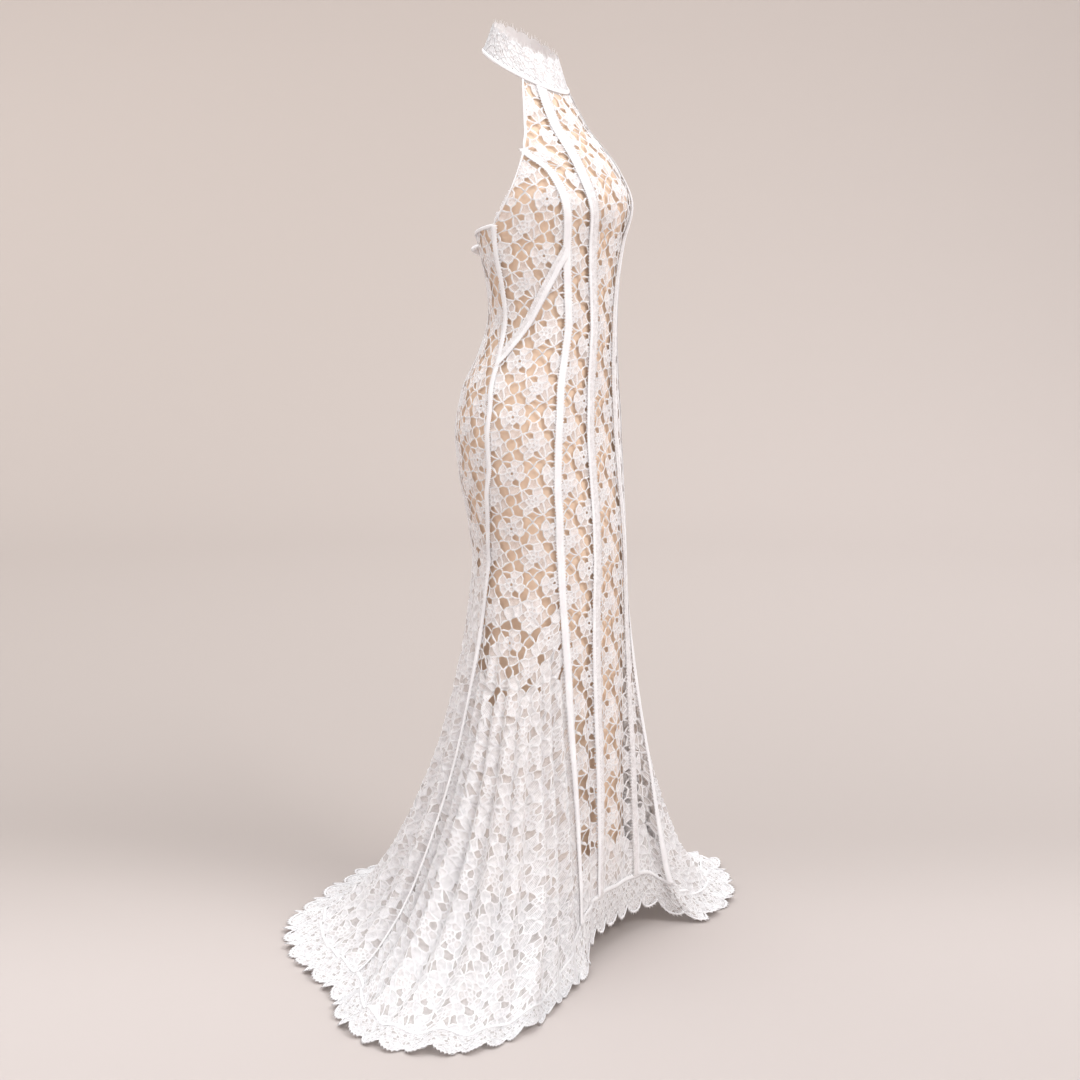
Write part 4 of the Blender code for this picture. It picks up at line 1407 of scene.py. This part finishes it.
        def way(share: Array, run: Array) -> tuple[Array, Array, Array]:
            """The way of one tape, which narrows at the zip's lower end."""
            middle, height = zip_line.at(blend(0.05, ZIP_ROW + 0.6, run))
            half = 0.0062 * np.clip((1 - run) * 9, 0.15, 1)
            lift = 0.0018 + 0.0009 * np.sin(np.pi * np.clip(share * 1.4 - 0.2, 0, 1))
            return middle - (0.0002 + (1 - share) * half) / 0.00205, height, lift

        for side, hand in SIDES:
            self.strip("zip_tape_" + hand, ("back_zip",) if side > 0 else (), side, 130, way,
                       columns=6)
        self.seam_band("centre_seam", (), 1, zip_line, 0.0028, ZIP_ROW + 0.4, HEM_ROW,
                       finish=DENSE)
        self.teeth(zip_line)
        self.puller()
        self.roll()

    def teeth(self, zip_line: SeamRows) -> None:
        """The zip's fine teeth between its tapes.

        Args:
            zip_line: the centre back seam.
        """
        bm = bmesh.new()
        for _ in range(TEETH):
            bmesh.ops.create_cube(bm, size=1.0)
        mesh = mesh_of(bm, "zip_teeth")
        flat = read_points(mesh)
        number = np.repeat(np.arange(TEETH), len(flat) // TEETH)
        angle, level = zip_line.at(blend(0.25, ZIP_ROW + 0.2, number / TEETH))
        side = np.where(number % 2, 1.0, -1.0) * 0.0002
        across = (side + flat[:, 0] * 0.0012) / METRES_A_DEGREE
        points = FORM.lifted(FORM.folded, angle + across, level + flat[:, 1] * 0.0013,
                             0.0016 + 0.0009 * flat[:, 2])
        shape_piece("zip_teeth", mesh, flat * 0.001, points, self.finishes.get(BAND))

    def puller(self) -> None:
        """The zip's puller, a rounded tab that widens downwards."""
        bm = bmesh.new()
        bmesh.ops.create_cone(bm, cap_ends=True, segments=20, radius1=0.5, radius2=0.5,
                              depth=1.0)
        bmesh.ops.bevel(bm, geom=[e for e in bm.edges if e.calc_face_angle(0) > 1.0],
                        offset=0.12, segments=3, profile=0.5, affect="EDGES", material=-1)
        mesh = mesh_of(bm, "zip_puller")
        flat = read_points(mesh)
        taper = 0.0022 + 0.0016 * (0.5 - flat[:, 1])
        points = FORM.lifted(FORM.folded, 180.0 + flat[:, 0] * taper / METRES_A_DEGREE,
                             BACK_TOP - 0.033 + flat[:, 1] * 0.015,
                             0.0042 + 0.0016 * flat[:, 2])
        shape_piece("zip_puller", mesh, flat * 0.01, points, self.finishes.get(PULLER))

    def roll(self) -> None:
        """The rolled lace edge that stands out across the top of the centre back."""
        bm = bmesh.new()
        bmesh.ops.create_cone(bm, cap_ends=True, segments=28, radius1=1.0, radius2=1.0,
                              depth=1.0)
        lengthwise = [e for e in bm.edges if abs(e.verts[0].co.z - e.verts[1].co.z) > 0.5]
        bmesh.ops.subdivide_edges(bm, edges=lengthwise, cuts=59, use_grid_fill=True)
        mesh = mesh_of(bm, "rolled_edge")
        flat = read_points(mesh)
        along, turn = flat[:, 2] * 2, np.arctan2(flat[:, 1], flat[:, 0])
        ripple = 1 + 0.06 * np.sin(along * 31 + 2 * turn) + 0.04 * np.sin(3 * turn - along * 9)
        radius = 0.0100 * np.sqrt(np.clip(1.08 - along * along, 0.03, 2)) * ripple
        hub = np.hypot(flat[:, 0], flat[:, 1])
        points = FORM.lifted(FORM.body, 180 + 32 * along, 1.176 + hub * np.sin(turn) * radius,
                             WALL + 0.0115 + hub * np.cos(turn) * radius)
        piece = shape_piece("rolled_edge", mesh,
                            np.stack([along * 0.085, turn * 0.009, 0 * turn], -1), points,
                            self.finishes.get(BAND), ("back_roll",))

    def hem(self) -> None:
        """The scalloped lace border, its heading and its picot edging."""
        self.border("front", -45.0, 45.0, 1.0, 0.10)
        for side, hand in SIDES:
            self.border(hand, 45.0, 180.0, float(side), 0.075)

    def border(self, hand: str, first: float, last: float, side: float, broad: float) -> None:
        """One length of the border.

        Args:
            hand: its place, in words.
            first: its first angle.
            last: its last angle.
            side: 1 on the wearer's right, -1 on the left.
            broad: the heading's width, as a share of the border's level.
        """
        angles = np.linspace(first, last, 400)
        line = FORM.folded(side * angles, 0.0 * angles)
        steps = np.concatenate([[0], np.linalg.norm(np.diff(line, axis=0), axis=-1)])
        along = np.cumsum(steps)
        length = float(along[-1])
        scallops = round(length / SCALLOP)
        picots = scallops * SCALLOP_PICOTS

        def place(share: Array, row: Array) -> Place:
            """The angle and level at a share along the border and a row down it."""
            return np.interp(share * length, along, angles), -BORDER_LEVEL * row

        def depth(across: Array) -> Array:
            """How deep the scalloped edge hangs at a distance from the middle."""
            turn = np.pi * scallops * (across / length + 0.5)
            return 0.047 + 0.017 * np.abs(np.sin(turn)) ** 0.7

        def edging(share: Array, run: Array) -> tuple[Array, Array, Array]:
            """The way of the edging, its lower side in picots."""
            tooth = 0.0034 * np.cos(run * picots * math.pi) * (share > 0.9)
            down = depth((run - 0.5) * length) - 0.002 + share * 0.0045 + tooth
            angle, level = place(run, down / pattern.length)
            return -angle, level, 0.0012 + 0.0012 * np.sin(np.pi * share)

        def heading(share: Array, run: Array) -> tuple[Array, Array, Array]:
            """The way of the strip that covers the seam above the border."""
            tooth = 0.10 * np.cos(run * picots * math.pi) * (np.abs(share - 0.5) > 0.4)
            angle, level = place(run, (share - 0.5) * (broad + tooth * 0.3))
            return -angle, level, broad * 0.015 + 0.0006 * np.sin(np.pi * share)

        pattern = flatten(FORM.folded, side, place, 0.0, 1.0)
        pattern.widths[:] = length
        lace = LaceCloth("border_lace_" + hand, ("hem_border_" + hand,), pattern,
                         scale=CLOSE_SCALE, closing=(-2.0, -1.0), slot="dense_lace",
                         outline=depth).build(self.finishes)
        trim = [self.strip("border_edging_" + hand, (), -side, picots, edging),
                self.strip("border_heading_" + hand, (), -side, picots, heading)]
        BORDER_SHARE * pattern.area


@dataclass
class Studio:
    """A pale floor that sweeps up all round, three soft suns and the camera."""

    floor_radius: float = 5.2
    wall_height: float = 6.0
    bend: float = 3.2
    bend_steps: int = 12
    turn_steps: int = 96
    pale: tuple[float, float, float] = (0.580, 0.524, 0.500)
    # The colour of the painted shade on the far, high and left parts of the paper.
    dark: tuple[float, float, float] = (0.372, 0.327, 0.302)
    sky: tuple[float, float, float, float] = (0.97, 0.98, 1.0, 1)
    sky_power: float = 1.12
    suns: tuple[tuple[str, tuple[float, float, float], float, float], ...] = (
        ("key", (-0.8, -2.9, 1.9), 34, 3.1), ("fill", (-3.0, 0.6, 1.2), 60, 1.5),
        ("top", (0.5, 1.0, 3.0), 60, 0.8))
    pitch: float = 7.5
    azimuth: float = -61.0
    place: tuple[float, float, float] = (-3.137, -1.766, -0.310)
    focal: float = 70.67

    @staticmethod
    def look() -> None:
        """A plain display of the light, so that white cloth stays white."""
        bpy.context.scene.view_settings.view_transform = "Standard"

    def backdrop(self) -> None:
        """The floor and the sweep behind it, turned round the dress, with painted shade on its
        colour.
        """
        bm = bmesh.new()
        z = -NECK_HEIGHT
        profile = [(0.0, z), (self.floor_radius, z)]
        for i in range(1, self.bend_steps + 1):
            turn = math.pi / 2 * i / self.bend_steps
            profile.append((self.floor_radius + self.bend * math.sin(turn),
                            z + self.bend * (1 - math.cos(turn))))
        profile.append((self.floor_radius + self.bend, z + self.wall_height))
        verts = [bm.verts.new((x, 0, y)) for x, y in profile]
        edges = [bm.edges.new(pair) for pair in zip(verts, verts[1:])]
        bmesh.ops.spin(bm, geom=verts + edges, cent=(0, 0, 0), axis=(0, 0, 1),
                       angle=math.tau, steps=self.turn_steps, use_merge=True)
        bmesh.ops.recalc_face_normals(bm, faces=bm.faces[:])
        bmesh.ops.reverse_faces(bm, faces=bm.faces[:])
        mesh = mesh_of(bm, "backdrop")
        mesh.shade_smooth()
        sweep = bpy.data.objects.new("backdrop", mesh)
        bpy.context.scene.collection.objects.link(sweep)
        graph = Graph("studio_paper")
        place = graph.node("ShaderNodeTexCoord", {}, {}, "Object")
        reach = graph.node("ShaderNodeVectorMath", {"operation": "LENGTH"}, {0: place}, "Value")
        turn = math.radians(self.azimuth)
        aside = graph.node("ShaderNodeVectorMath", {"operation": "DOT_PRODUCT"},
                           {0: place, 1: (math.cos(turn), math.sin(turn), 0)}, "Value")
        away = graph.node("ShaderNodeVectorMath", {"operation": "DOT_PRODUCT"},
                          {0: place, 1: (-math.sin(turn), math.cos(turn), 0)}, "Value")
        # Painted shade on the paper: darker away from the camera, further out and up the sweep,
        # and towards the camera's left.
        painted_shade = (away.ramp(-0.6, 0.7, 0.0, 0.58) + reach.ramp(5.5, 10.0, 0.0, 0.36)
               - aside.ramp(-3.0, 3.0, -0.18, 0.18))
        graph.set(Base_Color=graph.tint(painted_shade.ramp(0.0, 1.0), self.pale, self.dark))
        graph.shader.inputs["Roughness"].default_value = 0.9
        graph.shader.inputs["Specular IOR Level"].default_value = 0.1
        mesh.materials.append(graph.material)

    def lights(self) -> None:
        """Three soft suns, and an even, nearly white world."""
        world = bpy.data.worlds.new("studio")
        world.use_nodes = True
        world.node_tree.nodes["Background"].inputs[0].default_value = self.sky
        world.node_tree.nodes["Background"].inputs[1].default_value = self.sky_power
        bpy.context.scene.world = world
        for name, place, spread, power in self.suns:
            data = bpy.data.lights.new(name, "SUN")
            data.angle = math.radians(spread)
            data.energy = power
            light = bpy.data.objects.new(name, data)
            light.location = place
            light.rotation_euler = (-Vector(place)).to_track_quat("-Z", "Y").to_euler()
            bpy.context.scene.collection.objects.link(light)

    def camera(self) -> None:
        """The camera at the photograph's angle."""
        data = bpy.data.cameras.new("camera")
        data.lens = self.focal
        data.sensor_width = 36.0
        camera = bpy.data.objects.new("camera", data)
        camera.location = self.place
        camera.rotation_euler = Euler((math.radians(90 - self.pitch), 0,
                                       math.radians(self.azimuth)))
        bpy.context.scene.collection.objects.link(camera)
        bpy.context.scene.camera = camera


def build() -> None:
    """Builds the studio and the dress."""
    logging.basicConfig(level=logging.INFO, format="%(message)s")
    studio = Studio()
    studio.look()
    studio.camera()
    studio.lights()
    studio.backdrop()
    dress = Dress()
    dress.lining()
    dress.panels()
    dress.bands()
    dress.edges()
    dress.collar()
    dress.back()
    dress.hem()
    dress.declare_backs()


if __name__ == "__main__":
    build()
